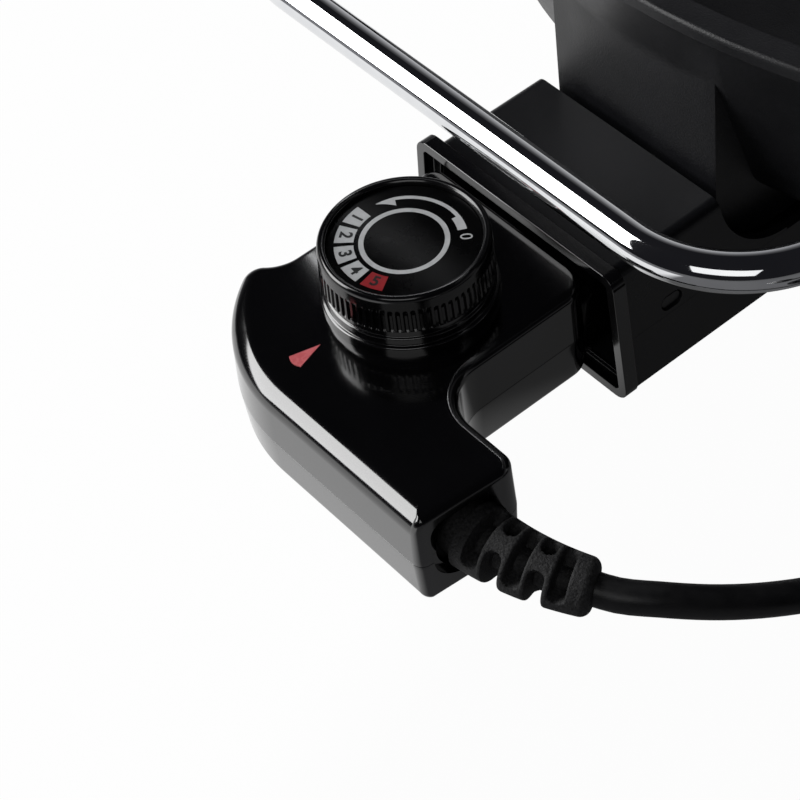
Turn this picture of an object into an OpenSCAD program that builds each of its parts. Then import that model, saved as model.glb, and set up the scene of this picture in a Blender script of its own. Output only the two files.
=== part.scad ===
// Electric skillet: a round cast pan on four feet with two bar handles, a socket box in front,
// and a plug-in control with a dial, a heat probe and a mains lead.
// Millimetres, +Z up. The origin is on the table, under the middle of the object without its lead.
// The socket and the control face -Y, and the lead leaves the control towards +X.

/* [Pan] */
// Outside diameter of the rim
rim_d = 408; // [380:2:440]
// Height of the pan's underside over the table
pan_rise = 33; // [31:0.5:40]
// Height of the pan from its underside to the top of its rim
pan_h = 69.5; // [64:0.5:90]
// Width of the flat top of the rim
rim_w = 7; // [6:0.5:10]
// Thickness of the rim
rim_t = 4; // [3:0.5:6]
// How far the rim stands out past the wall
rim_lap = 2; // [1:0.5:3]
// Radius of the rim's outer top edge
rim_edge_r = 1.2; // [0.5:0.1:2]
// Thickness of the wall
wall_t = 4; // [3:0.5:5]
// Thickness of the floor
floor_t = 4.5; // [3:0.5:7]
// Lean of the wall from upright, in degrees
wall_lean = 18; // [12:1:20]
// Outside radius between wall and floor
pan_corner_r = 14; // [8:1:20]

/* [Terminal block] */
// Width of the flat pad and of the block under it
pad_w = 56; // [52:1:60]
// How far the pad's face stands back from the edge of the rim
pad_back = 10.1; // [8:0.1:14]
// Depth of the block below the pan's underside
block_h = 10.5; // [10:0.5:13]
// Length of the block in under the pan
block_l = 100; // [96:1:120]
// Depth of the plug's axis below the pan's underside
plug_drop = 4.5; // [4:0.1:5]

/* [Heating element] */
// Width of the heating loop, at the middle of its sheath
loop_w = 190; // [180:2:204]
// Diameter of the sheath
sheath_d = 8; // [6.5:0.5:8.5]
// Radius of the bends between the loop and its straight ends
sheath_bend_r = 15; // [12:1:20]
// Width of the cast rib over the loop
rib_w = 17; // [14:1:24]
// Distance between the two terminal pins
pin_gap = 28; // [26:1:30]
// Diameter of a terminal pin
pin_d = 5; // [4:0.5:5.5]
// Length of the terminal pins in front of the box's back wall
pin_l = 28; // [22:1:29]
// Length of the probe's sleeve inside the block
sleeve_l = 86; // [74:1:90]

/* [Socket box] */
// Width of the box at its top
box_w = 64.4; // [62:0.2:66]
// Width of the box at its bottom
box_foot_w = 74.8; // [72:0.2:77]
// Height of the box
box_h = 36; // [35:0.5:38]
// Depth of the box from its collar to its back wall
box_l = 33.6; // [32:0.2:37]
// Thickness of the box's walls
box_t = 2.5; // [2:0.1:3]
// Radius of the box's top edges
box_edge_r = 3; // [1:0.5:5]
// Height of the parting line over the box's bottom
box_split = 14.5; // [12:0.5:16]
// Gap between the box and the pad
pad_gap = 3; // [2:0.5:5]
// Radius of the hollow that is cut from each side wall to clear the pan
cheek_r = 20; // [18:0.5:24]
// Length of the tray in under the pan, from the pad's face
tray_l = 60; // [50:1:72]

/* [Collar] */
// How far the collar stands out past the box at its top, on each side
collar_out = 3.3; // [2.8:0.1:4.8]
// How far the collar stands out past the box at its bottom, on each side
collar_foot_out = 1.3; // [0.8:0.1:3.6]
// Height of the collar
collar_h = 40; // [39:0.5:43]
// Depth of the collar
collar_l = 4; // [3:0.5:6]
// Outside corner radius of the collar
collar_r = 4; // [3:0.5:6]
// Thickness of the collar's frame
collar_t = 2.8; // [1.8:0.2:3.2]
// Height of the collar's underside over the table
collar_rise = 9; // [8:0.5:12]

/* [Control housing] */
// Height of the housing's parting line over the plug's axis
split_rise = 1; // [0:0.5:2]
// Height of the upper shell
upper_h = 15; // [14:0.5:18]
// Depth of the lower shell
lower_h = 13; // [13:0.5:15]
// Thickness of the shells
shell_t = 2.5; // [2:0.1:3]
// How much deeper the lower shell is at its front than at the end of its neck
floor_fall = 2.6; // [0:0.2:4]
// Draft of the upper shell's sides, in degrees
draft = 3.4; // [1:0.1:4]
// Draft of the lower shell's sides, in degrees
lower_draft = 0.8; // [0.2:0.1:3]
// Radius of the shells' outer edges
edge_r = 3; // [2:0.5:3.5]
// Width of the neck that carries the dial
neck_w = 58; // [56:0.5:60]
// Distance from the dial's axis to the end of the neck
neck_l = 30.6; // [28:0.2:34]
// Distance from the dial's axis to the front face
front_l = 44.3; // [42:0.1:48]
// Distance from the dial's axis to the cord's end of the cross arm
arm_l = 54.5; // [50:0.5:60]
// Depth of the cross arm from front to back
arm_w = 28.6; // [26:0.1:30]
// How much further the arm's end reaches at its back than at its front
arm_slant = 2.4; // [0:0.2:4]
// Gap between the neck's end and the collar
seat_gap = 1.2; // [0.5:0.1:2]
// Radius of the housing's plain corners
corner_r = 5; // [4.5:0.5:7]
// Radius of the hollow corner between the neck and the arm
hollow_r = 12; // [8:0.5:14]
// Radius of the large round corner opposite the cord
sweep_r = 34.4; // [32:0.1:36]
// How far that corner's centre lies from the dial's axis, away from the cord
sweep_x = 2.3; // [0:0.1:4]

/* [Control nose] */
// Width of the nose that enters the socket
nose_w = 54; // [50:1:56]
// Height of the nose
nose_h = 22; // [20:0.5:23]
// Length of the nose
nose_l = 20; // [18:0.5:24]
// Diameter of the heat probe
probe_d = 6; // [5:0.5:6]
// Length of the probe in front of the nose
probe_l = 84; // [70:1:90]
// Room round the probe, and round each pin in its socket
slide_gap = 0.3; // [0.2:0.05:0.5]

/* [Dial] */
// Diameter of the knob's top rim
knob_d = 41; // [39:0.5:43]
// Height of the knob
knob_h = 10.8; // [9:0.2:14]
// How much wider the knurled skirt is than the top rim
skirt_grow = 0.6; // [0:0.2:2]
// Number of knurls round the skirt
knurls = 72; // [48:4:90]
// Depth of a knurl
knurl_depth = 0.6; // [0.3:0.1:1]
// Width of the rim round the printed face
knob_lip = 2.2; // [1.5:0.1:4]
// Height of the stepped seat under the knob
seat_h = 6.7; // [4:0.1:9]
// Clear gap between the seat and the knob
knob_gap = 0.5; // [0.3:0.1:1]
// Diameter of the dial's shaft
shaft_d = 6; // [5:0.5:7]
// Running clearance of the shaft, on the radius
shaft_clear = 0.05; // [0.02:0.01:0.1]

/* [Handles] */
// Diameter of the bar
bar_d = 9.2; // [8:0.1:11]
// Height of the bar's axis over the table
bar_z = 90; // [82:0.5:92]
// How far the bar's axis stands out past the edge of the rim
bar_out = 44.6; // [38:0.2:60]
// Distance between the two ends of a handle
bar_span = 182; // [170:1:194]
// Bend radius at the bar's axis
bar_bend_r = 32; // [28:1:34]
// Diameter of the cast bosses that hold the bar
boss_d = 18; // [16:0.5:20]
// How far a boss stands in from the edge of the rim
boss_in = 14; // [10:0.5:16]
// Depth of the bar in its boss
bar_seat = 12; // [9:0.5:13]

/* [Feet] */
// Diameter of the circle on which the feet stand
foot_circle_d = 280; // [260:2:300]
// Diameter of a foot at its bottom
foot_d = 28; // [24:1:34]
// Diameter of a foot at its top
foot_top_d = 22; // [18:1:24]
// Height of the cast post over each foot
post_h = 4; // [2:0.5:6]
// Diameter of the rubber pad
foot_pad_d = 20; // [16:1:22]
// Height of the rubber pad below the foot
foot_pad_h = 3; // [2:0.5:4]

/* [Lead] */
// Diameter of the mains lead
cord_d = 8; // [7:0.1:8]
// Turns in each of the coil's two layers
coil_turns = 2; // [1:1:3]
// Radius of the coil's outermost turn
coil_r = 52; // [50:0.5:56]
// Distance between neighbouring turns
coil_step = 8.7; // [8.5:0.1:9.5]
// Diameter of the plug's body
plug_d = 36.5; // [34:0.5:36.5]
// Length of the plug's body
plug_l = 38; // [32:1:44]
// Diameter of the plug's pins
prong_d = 4.8; // [4:0.1:5]
// Distance between the plug's pins
prong_gap = 19; // [18:0.5:20]
// Length of the plug's pins
prong_l = 19; // [17:0.5:20]

/* [Hidden] */
$fn = 64;
eps = 0.01;

// Clearance of a seated piece, on each side
seat_c = 0.1;

// Pan heights and radii, measured from its axis
rim_r = rim_d / 2;
rim_z = pan_rise + pan_h;
lap_z = rim_z - rim_t;
function wall_r(z) = rim_r - rim_lap - (lap_z - z) * tan(wall_lean);
inner_shift = wall_t / cos(wall_lean);
inner_corner_r = max(pan_corner_r - wall_t, 3);
floor_z = pan_rise + floor_t;

// Places along Y, from the pan's axis out to the control's front
pad_reach = rim_r - pad_back;
knob_reach = pad_reach + pad_gap + box_l + collar_l + seat_gap + neck_l;
bar_reach = rim_r + bar_out;
front_reach = knob_reach + front_l;
rear_reach = bar_reach + bar_d / 2;
pan_y = (front_reach - rear_reach) / 2;
pad_y = pan_y - pad_reach;
box_back_y = pad_y - pad_gap;
collar_back_y = box_back_y - box_l;
collar_front_y = collar_back_y - collar_l;
neck_end_y = collar_front_y - seat_gap;
knob_y = neck_end_y - neck_l;
nose_end_y = neck_end_y + nose_l;
wall_face_y = box_back_y - box_t;

// Heights of the plug, the box and the control
plug_z = pan_rise - plug_drop;
block_z = pan_rise - block_h;
collar_mid_z = collar_rise + collar_h / 2;
collar_w = box_w + 2 * collar_out;
collar_foot_w = box_foot_w + 2 * collar_foot_out;
box_z = collar_mid_z - box_h / 2;
box_top_z = box_z + box_h;
box_split_z = box_z + box_split;
tray_z = box_z + box_t;
split_z = plug_z + split_rise;
top_z = split_z + upper_h;
bottom_z = split_z - lower_h;
cave_top_z = top_z - shell_t;
cave_floor_z = bottom_z + shell_t;
knob_z = top_z + seat_h + knob_gap;
knob_top_z = knob_z + knob_h;

// Fittings of the control, from the dial's axis
boot_fore = 0.65;
boot_y = -front_l + arm_w / 2 - boot_fore;
boot_root_r = 8.7;
boot_hole_r = boot_root_r + 0.5;
boot_flange_r = 9.7;
boot_recess_w = 1.7;
boot_flange_l = 3;
block_half_w = pin_gap / 2 + 4;
carrier_l = 20;
carrier_back = 4;
carrier_y1 = neck_l - carrier_back;
carrier_y0 = carrier_y1 - carrier_l;
carrier_top_z = plug_z + 8.5;
leaf_t = 0.5;
cam_r = 6;
cam_t = 2;
cam_top_z = cave_top_z - 0.4;
neck_screw_x = block_half_w + 4.5;
neck_screw_in = 10;
left_screw_x = -20;
left_screw_in = 16.5;
front_screw_x = 30;
front_screw_in = 6.5;
screw_places = [
    [neck_screw_x, neck_l - neck_screw_in],
    [-neck_screw_x, neck_l - neck_screw_in],
    [left_screw_x, left_screw_in - front_l],
    [front_screw_x, front_screw_in - front_l]
];
screw_post_r = 3.4;
screw_core_r = 1.4;
screw_head_r = 3;
screw_head_h = 2;
screw_sink = 5;
screw_bite = 7;

// Red pointer in the top of the control
pointer_x = -1.5;
pointer_tip_y = -26.3;
pointer_l = 7.6;
pointer_w = 4.4;
pointer_proud = 0.2;
lens_flange_t = 1;
lamp_r = 2.2;
lamp_l = 7;

// Screws that hold the tray to the block, and those of handles and feet
tray_screw_x = 22;
tray_screw_in = 16;
tray_screw_y = tray_l - tray_screw_in;
tray_post_r = 5;
m3_r = 1.5;
m3_head_r = 3.2;
m3_head_h = 2.2;
m3_bite = 7;
grub_r = 2;
foot_screw_r = 2;
foot_screw_head_r = 4;
foot_screw_head_h = 2.6;
foot_pad_plug_h = 5;
foot_floor = 6;

// Heating loop: a ring with a short straight on each side, and its ends in the middle of one
pin_x = pin_gap / 2;
loop_side = pin_x + sheath_bend_r;
loop_corner_r = loop_w / 2 - loop_side;
bead_d = sheath_d - 0.6;
bead_l = pad_gap + box_t + 2;

// Clips in the side walls of the socket box: an oval window, and the tongue that springs into it
clip_l = 6.5;
clip_h = 4;
clip_in = 15;
clip_rise = 3.2;
clip_y = collar_back_y + clip_in;
clip_z = box_split_z + clip_rise;
// Half width inside the box at the top of the clips, from which the tongues stand clear
box_slope = (box_foot_w - box_w) / 2 / box_h;
clip_wall_x = box_foot_w / 2 - box_slope * (box_split + clip_rise + clip_h / 2) - box_t;
tongue_t = 2;
tongue_x = clip_wall_x - slide_gap - tongue_t;
nub_l = box_t + 0.2;

// Mains lead: the free stretch, as points from the dial's axis on the table, laid by hand
cord_route = [
    [85.5, -19.5, 26.5], [89.5, -17, 26], [92.5, -14, 25.5], [95.5, -10.5, 24.5],
    [98, -7, 23], [100, -3.5, 21.5], [102.5, 0.5, 20], [104.5, 4.5, 18.5],
    [106.5, 9, 17], [108.5, 13, 15.5], [110.5, 17, 14], [112, 21.5, 12.5],
    [113.5, 27, 11], [114.5, 33.5, 9], [115, 41, 7.5], [115.5, 50, 6], [115.5, 60, 5.5]
];
// Short stretch between the coil and the plug, as steps from the coil's end
tail_steps = [
    [0, 0, 0], [0, -7, 0.2], [0, -14, 1], [0, -21, 2.3], [0, -28, 3.5], [0, -35, 4.2], [0, -42, 4.4]
];
cord_sides = 10;
coil_sides = 6;
coil_rings = 24;
layer_step = 8.6;
// How far the climb between the layers swings in from the innermost turn
climb_dip = 2;
coil_z = cord_route[len(cord_route) - 1][2];
coil_centre = cord_route[len(cord_route) - 1] + [coil_r, cord_d, 0];
tie_w = 10;
tie_t = 1.2;
tie_room = 0.8;
plug_neck_l = 14;
plug_face_l = 12;

// Strain relief: its axis is one bend from the housing's end to the lead's first point
boot_start = [arm_l - shell_t - boot_flange_l - 1, boot_y, split_z];
boot_end = cord_route[0];
boot_out = [1, 0, 0];
boot_lead = unit(cord_route[1] - cord_route[0]);
boot_pull = 14;
boot_sides = 16;
// Each rib is a stretch along the boot, as shares of its length, with its radius
boot_ribs = [[0.22, 0.28, 9.2], [0.36, 0.56, 8.5], [0.64, 0.82, 7.6], [0.89, 0.975, 6.8]];
boot_core_r = 5.9;

function unit(v) = v / norm(v);

// Points of an arc with both its ends
function arc(c, r, a0, a1, n) = [
    for (i = [0:n]) c + r * [cos(a0 + (a1 - a0) * i / n), sin(a0 + (a1 - a0) * i / n)]
];

// Points of an arc without its ends
function arc_between(c, r, a0, a1, n) = [
    for (i = [1:n - 1]) c + r * [cos(a0 + (a1 - a0) * i / n), sin(a0 + (a1 - a0) * i / n)]
];

// Twice the area of the triangle a, b, c in plan, above zero where it turns left
function turn(a, b, c) = (b[0] - a[0]) * (c[1] - a[1]) - (b[1] - a[1]) * (c[0] - a[0]);

// True where q lies in the left-turning triangle a, b, c
function holds(a, b, c, q) = turn(a, b, q) >= 0 && turn(b, c, q) >= 0 && turn(c, a, q) >= 0;

// True where corner k of what is left of an outline can be cut off with no other corner in the way
function is_ear(p, left, k) =
    let (n = len(left), a = p[left[(k + n - 1) % n]], b = p[left[k]], c = p[left[(k + 1) % n]])
    turn(a, b, c) > 0
    && len([for (i = [2:n - 2]) if (holds(a, b, c, p[left[(k + i) % n]])) i]) == 0;

// Triangles that fill a left-turning outline, cut off one corner at a time
function fill(p, left) =
    let (n = len(left), ears = n > 3 ? [for (k = [0:n - 1]) if (is_ear(p, left, k)) k] : [1], k = ears[0])
    concat(
        [[left[(k + n - 1) % n], left[k], left[(k + 1) % n]]],
        n > 3 ? fill(p, [for (i = [0:n - 1]) if (i != k) left[i]]) : []
    );

// Triangles that fill a ring that is convex
function fan(n) = [for (j = [1:n - 2]) [0, j, j + 1]];

// Closed skin over rings of points that all have the same count, listed along the body. The ends of
// a level body may be hollow-sided, and those of any other body are convex
module skin(rings, level = false) {
    n = len(rings[0]);
    m = len(rings);
    all = [for (j = [0:n - 1]) j];
    points = [for (ring = rings) each ring];
    sides = [
        for (i = [0:m - 2]) for (j = [0:n - 1]) let (k = (j + 1) % n) each [
            [i * n + j, (i + 1) * n + j, (i + 1) * n + k],
            [i * n + j, (i + 1) * n + k, i * n + k]
        ]
    ];
    first_cap = level ? fill(rings[0], all) : fan(n);
    far_end = level ? fill(rings[m - 1], all) : fan(n);
    last_cap = [for (t = far_end) (m - 1) * n * [1, 1, 1] + [t[2], t[1], t[0]]];
    polyhedron(points, concat(sides, first_cap, last_cap), convexity = 6);
}

// Ring of points round a place on a path, square to the direction t
function tube_ring(c, t, r, n) =
    let (u = unit(cross(t, [0, 0, 1])), v = cross(t, u))
    [for (k = [0:n - 1]) c + r * (cos(360 * k / n) * u + sin(360 * k / n) * v)];

// Direction of a path at its point i
function heading(p, i) = unit(p[min(i + 1, len(p) - 1)] - p[max(i - 1, 0)]);

// Round tube along a path
module tube(p, d, n) {
    skin([for (i = [0:len(p) - 1]) tube_ring(p[i], heading(p, i), d / 2, n)]);
}

// Rectangle with round corners, centred
module round_rect(w, h, r) {
    square([w - 2 * r, h], center = true);
    square([w, h - 2 * r], center = true);
    for (x = [-1, 1]) for (y = [-1, 1]) translate([x * (w / 2 - r), y * (h / 2 - r)]) circle(r);
}

// Stands a flat shape up in the XZ plane at y0 and pulls it along +Y
module pull_y(y0, l) {
    translate([0, y0 + l, 0]) rotate([90, 0, 0]) linear_extrude(l) children();
}

// Round bar along +Y from y0
module rod_y(x, y0, z, l, r) {
    translate([x, y0, z]) rotate([-90, 0, 0]) cylinder(r = r, h = l);
}

// Round screw with a domed head, standing head down at the origin
module screw(core_r, core_l, head_r, head_h) {
    rotate_extrude()
        polygon([
            [0, 0], [head_r * 0.7, 0], [head_r, head_h * 0.4], [head_r, head_h],
            [core_r, head_h], [core_r, head_h + core_l - core_r * 0.6],
            [core_r * 0.4, head_h + core_l], [0, head_h + core_l]
        ]);
}

// Pan body without its hollow: floor, round corner, leaning wall and rim
module pan_outside() {
    corner = [wall_r(pan_rise) - pan_corner_r * tan(45 - wall_lean / 2), pan_rise + pan_corner_r];
    rotate_extrude($fn = 128)
        polygon(concat(
            [[0, pan_rise]],
            arc(corner, pan_corner_r, -90, -wall_lean, 6),
            [[wall_r(lap_z), lap_z], [rim_r - rim_edge_r / 2, lap_z], [rim_r, lap_z + rim_edge_r / 2]],
            arc([rim_r - rim_edge_r, rim_z - rim_edge_r], rim_edge_r, 0, 90, 4),
            [[0, rim_z]]
        ));
}

// Hollow of the pan, open at the top
module pan_hollow() {
    low_r = wall_r(floor_z) - inner_shift;
    corner = [low_r - inner_corner_r * tan(45 - wall_lean / 2), floor_z + inner_corner_r];
    rotate_extrude($fn = 128)
        polygon(concat(
            [[0, floor_z]],
            arc(corner, inner_corner_r, -90, -wall_lean, 6),
            [[rim_r - rim_w, lap_z], [rim_r - rim_w, rim_z + 1], [0, rim_z + 1]]
        ));
}

// Carries a flat shape along the heating loop, over all four of its sides or over three
module along_loop(sides) {
    for (k = [0:3]) rotate([0, 0, 90 * k]) {
        translate([loop_side, loop_side, 0])
            rotate_extrude(angle = 90) translate([loop_corner_r, 0]) children();
        if (k < sides) translate([loop_w / 2, loop_side, 0]) rotate([90, 0, 0])
            linear_extrude(2 * loop_side) children();
    }
}

// Sheath of the heating element at the plug's height: the loop, two bends and two straight ends
module sheath(d) {
    bend_y = -loop_w / 2 - sheath_bend_r;
    translate([0, 0, plug_z]) {
        along_loop(3) circle(d = d);
        for (side = [0, 1]) mirror([side, 0, 0]) {
            translate([loop_side, bend_y, 0]) rotate([0, 0, 90])
                rotate_extrude(angle = 90) translate([sheath_bend_r, 0]) circle(d = d);
            rod_y(pin_x, -pad_reach, 0, bend_y + pad_reach, d / 2);
        }
    }
}

// Cast rib under the floor that holds the loop
module loop_rib() {
    half = rib_w / 2;
    edge = 3;
    along_loop(4) polygon(concat(
        [[half, pan_rise + 1], [-half, pan_rise + 1]],
        arc([edge - half, block_z + edge], edge, 180, 270, 4),
        arc([half - edge, block_z + edge], edge, 270, 360, 4)
    ));
}

// Places the children at each of the four feet, from the pan's axis
module at_feet() {
    for (q = [0:3]) rotate([0, 0, 45 + 90 * q]) translate([foot_circle_d / 2, 0, 0]) children();
}

// Places the children at the four handle ends, from the pan's axis, as if at the front right end
module at_handle_ends() {
    for (turn = [0, 180]) rotate([0, 0, turn])
        for (side = [0, 1]) mirror([side, 0, 0]) translate([bar_span / 2, 0, 0]) children();
}

// Bosses run on into the pan, where its hollow cuts them off
boss_reach = rim_r - boss_in;
boss_run = 45;

module pan() {
    color("#1d1d1f") translate([0, pan_y, 0]) difference() {
        union() {
            pan_outside();
            loop_rib();
            translate([-pad_w / 2, -pad_reach, block_z]) cube([pad_w, block_l, lap_z - rim_t - block_z]);
            at_handle_ends() rod_y(0, -boss_reach, bar_z, boss_run, boss_d / 2);
            at_feet() translate([0, 0, pan_rise - post_h]) cylinder(d = foot_top_d, h = post_h + 1);
        }
        pan_hollow();
        sheath(sheath_d + 2 * seat_c);
        rod_y(0, -pad_reach - 1, plug_z, sleeve_l + 1 + seat_c, sleeve_r + seat_c);
        at_handle_ends() {
            rod_y(0, -boss_reach - 1, bar_z, bar_seat + 1, bar_d / 2 + seat_c);
            translate([0, -boss_reach + bar_seat / 2, bar_z - boss_d / 2 - 1])
                cylinder(r = grub_r + seat_c, h = boss_d / 2 + 1);
        }
        for (side = [-1, 1]) translate([side * tray_screw_x, -pad_reach + tray_screw_y, block_z - 1])
            cylinder(r = m3_r + seat_c, h = m3_bite + 1.5);
        at_feet() translate([0, 0, pan_rise - post_h - 1])
            cylinder(r = foot_screw_r + seat_c, h = post_h + floor_t - 1);
    }
}

module heating_element() {
    color("#7d7a74") translate([0, pan_y, 0]) sheath(sheath_d);
}

sleeve_r = probe_d / 2 + slide_gap + 1.1;

module probe_sleeve() {
    color("#b9b9b4") difference() {
        union() {
            rod_y(0, pad_y - pad_gap / 2, plug_z, sleeve_l + pad_gap / 2, sleeve_r);
            rod_y(0, pad_y - pad_gap / 2, plug_z, pad_gap / 2, sleeve_r + 1.2);
        }
        rod_y(0, pad_y - pad_gap, plug_z, sleeve_l + pad_gap - 2, probe_d / 2 + slide_gap);
    }
}

module pin_insulators() {
    color("#e9e4d8") for (side = [-1, 1]) difference() {
        rod_y(side * pin_x, pad_y - bead_l, plug_z, bead_l, bead_d / 2);
        rod_y(side * pin_x, pad_y - bead_l - 1, plug_z, bead_l + 2, pin_d / 2 + seat_c / 2);
    }
}

module terminal_pins() {
    tip = pin_d / 5;
    color("#c9c9c6") for (side = [-1, 1])
        translate([side * pin_x, pad_y, plug_z]) rotate([90, 0, 0]) rotate_extrude() {
            reach = pad_gap + box_t + pin_l;
            polygon([[0, 0], [pin_d / 2, 0], [pin_d / 2, reach - tip], [pin_d / 2 - tip, reach], [0, reach]]);
        }
}

// Cross-section of the socket box at its outside, drawn in from its faces by inset
module box_section(inset) {
    low = box_z + inset;
    high = box_top_z - inset;
    half_low = box_foot_w / 2 - inset * (1 + box_slope);
    half_high = box_w / 2 - inset * (1 - box_slope);
    r = max(box_edge_r - inset, 0.4);
    lean = atan(box_slope);
    right = concat(
        [[half_low, low]],
        arc([half_high + box_slope * r - r / cos(lean), high - r], r, lean, 90, 5)
    );
    polygon(concat(right, [for (i = [len(right) - 1:-1:0]) [-right[i][0], right[i][1]]]));
}

// Side view of the box's cheek behind its back wall, hollowed to clear the pan
module cheek_side() {
    hollow = [box_back_y + cheek_r, box_split_z + cheek_r + 0.7];
    difference() {
        translate([box_back_y - box_t, box_split_z]) square([cheek_r + box_t, box_top_z - box_split_z]);
        translate(hollow) circle(cheek_r);
        translate([box_back_y, hollow[1]]) square([2 * cheek_r, box_h]);
    }
}

// Keeps what the children have above or below the parting line of the box
module box_half(upper) {
    z0 = upper ? box_split_z : box_z - 1;
    z1 = upper ? box_top_z + 1 : box_split_z;
    intersection() {
        children();
        translate([-box_foot_w, collar_back_y - 1, z0]) cube([2 * box_foot_w, 2 * (box_l + tray_l), z1 - z0]);
    }
}

// Oval bar across the box at its clips, from x0 outwards
module clip_bar(x0, l, room) {
    translate([x0, clip_y, clip_z]) rotate([90, 0, 90]) linear_extrude(l)
        round_rect(clip_l + 2 * room, clip_h + 2 * room, clip_h / 2 + room - eps);
}

module socket_box_upper() {
    color("#232326") difference() {
        union() {
            box_half(true) difference() {
                pull_y(collar_back_y, box_l) box_section(0);
                pull_y(collar_back_y - 1, box_l + 1 - box_t) box_section(box_t);
            }
            box_half(true) intersection() {
                difference() {
                    pull_y(collar_back_y, box_l + cheek_r) box_section(0);
                    pull_y(collar_back_y - 1, box_l + cheek_r + 2) box_section(box_t);
                }
                translate([-box_foot_w, 0, 0]) rotate([90, 0, 90])
                    linear_extrude(2 * box_foot_w) cheek_side();
            }
        }
        for (side = [-1, 1]) rod_y(side * pin_x, wall_face_y - 1, plug_z, box_t + 2, bead_d / 2 + slide_gap);
        rod_y(0, wall_face_y - 1, plug_z, box_t + 2, sleeve_r + 1.2 + slide_gap);
        clip_bar(-box_foot_w, 2 * box_foot_w, seat_c);
    }
}

module socket_box_lower() {
    tray_end_y = pad_y + tray_l;
    tray_depth = tray_end_y - collar_back_y;
    color("#202023") difference() {
        union() {
            box_half(false) difference() {
                pull_y(collar_back_y, tray_depth) box_section(0);
                pull_y(collar_back_y - 1, tray_depth + 1 - box_t) box_section(box_t);
            }
            box_half(false) pull_y(wall_face_y, box_t) box_section(box_t / 2);
            for (side = [-1, 1]) {
                translate([side * tray_screw_x, pad_y + tray_screw_y, box_z])
                    cylinder(r = tray_post_r, h = block_z - box_z);
            }
            for (side = [0, 1]) mirror([side, 0, 0]) {
                translate([tongue_x, clip_y - clip_l / 2, tray_z - eps])
                    cube([tongue_t, clip_l, clip_z + clip_h / 2 - tray_z]);
                clip_bar(tongue_x + eps, tongue_t + nub_l, -slide_gap);
            }
        }
        translate([-box_w / 2, pad_y + tray_l - box_t - 1, block_z]) cube([box_w, box_t + 2, box_h]);
        for (side = [-1, 1]) {
            rod_y(side * pin_x, wall_face_y - 1, plug_z, box_t + 2, bead_d / 2 + slide_gap);
            translate([side * tray_screw_x, pad_y + tray_screw_y, box_z - 1]) {
                cylinder(r = m3_r + slide_gap, h = box_h);
                cylinder(r = m3_head_r + slide_gap, h = m3_head_h + 2);
            }
        }
        rod_y(0, wall_face_y - 1, plug_z, box_t + 2, sleeve_r + 1.2 + slide_gap);
    }
}

// Outline of the collar, wider at its foot, drawn in from its faces by inset
module collar_section(inset) {
    slope = (collar_foot_w - collar_w) / 2 / collar_h;
    lean = atan(slope);
    r = max(collar_r - inset, 0.5);
    low = collar_rise + inset;
    high = collar_rise + collar_h - inset;
    half_low = collar_foot_w / 2 - inset * (1 + slope);
    half_high = collar_w / 2 - inset * (1 - slope);
    right = concat(
        arc([half_low - slope * r - r / cos(lean), low + r], r, -90, lean, 6),
        arc([half_high + slope * r - r / cos(lean), high - r], r, lean, 90, 6)
    );
    polygon(concat(right, [for (i = [len(right) - 1:-1:0]) [-right[i][0], right[i][1]]]));
}

// Thin frame round the mouth, with a plate at its back that meets the box's walls
module socket_collar() {
    plate_t = collar_l / 4;
    color("#161618") difference() {
        pull_y(collar_front_y, collar_l) collar_section(0);
        pull_y(collar_front_y - 1, collar_l + 1 - plate_t) collar_section(collar_t);
        pull_y(collar_front_y - 1, collar_l + 2) box_section(box_t);
    }
}

module tray_screws() {
    color("#a8a8a6") for (side = [-1, 1])
        translate([side * tray_screw_x, pad_y + tray_screw_y, box_z + 1])
            screw(m3_r, block_z + m3_bite - box_z - 1 - m3_head_h, m3_head_r, m3_head_h);
}

// One bar handle at the front of the pan, from the pan's axis
module bar_handle() {
    leg_x = bar_span / 2;
    bend_x = leg_x - bar_bend_r;
    bend_y = -bar_reach + bar_bend_r;
    leg_end = -boss_reach + bar_seat - seat_c;
    translate([0, 0, bar_z]) {
        translate([-bend_x, -bar_reach, 0]) rotate([0, 90, 0]) cylinder(d = bar_d, h = 2 * bend_x);
        for (side = [0, 1]) mirror([side, 0, 0]) {
            translate([bend_x, bend_y, 0]) rotate([0, 0, -90])
                rotate_extrude(angle = 90) translate([bar_bend_r, 0]) circle(d = bar_d);
            rod_y(leg_x, bend_y, 0, leg_end - bend_y, bar_d / 2);
        }
    }
}

module front_handle() {
    color("#d9dadc") translate([0, pan_y, 0]) bar_handle();
}

module rear_handle() {
    color("#d9dadc") translate([0, pan_y, 0]) rotate([0, 0, 180]) bar_handle();
}

module handle_screws() {
    grub_l = boss_d / 2 - bar_d / 2 - seat_c;
    color("#6b6b6b") translate([0, pan_y, 0]) at_handle_ends()
        translate([0, -boss_reach + bar_seat / 2, bar_z - boss_d / 2]) difference() {
            cylinder(r = grub_r, h = grub_l);
            translate([0, 0, -1]) cylinder(r = grub_r / 2, h = 2.2, $fn = 6);
        }
}

// One foot under its cast post, standing over the table on its pad
module foot() {
    high = pan_rise - post_h;
    rise = high - foot_pad_h;
    plug_r = foot_pad_d / 2;
    shelf = foot_pad_plug_h;
    color("#19191b") translate([0, 0, foot_pad_h]) difference() {
        rotate_extrude()
            polygon(concat(
                [[0, 0], [foot_d / 2 - 1, 0], [foot_d / 2, 1]],
                [[foot_d / 2, rise / 4], [foot_top_d / 2, rise - 3]],
                [[foot_top_d / 2, rise], [0, rise]]
            ));
        translate([0, 0, -1]) cylinder(r = plug_r + seat_c, h = shelf + 1);
        cylinder(r = foot_screw_head_r + 1, h = rise - foot_floor);
        cylinder(r = foot_screw_r + seat_c, h = rise + 1);
    }
}

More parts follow.
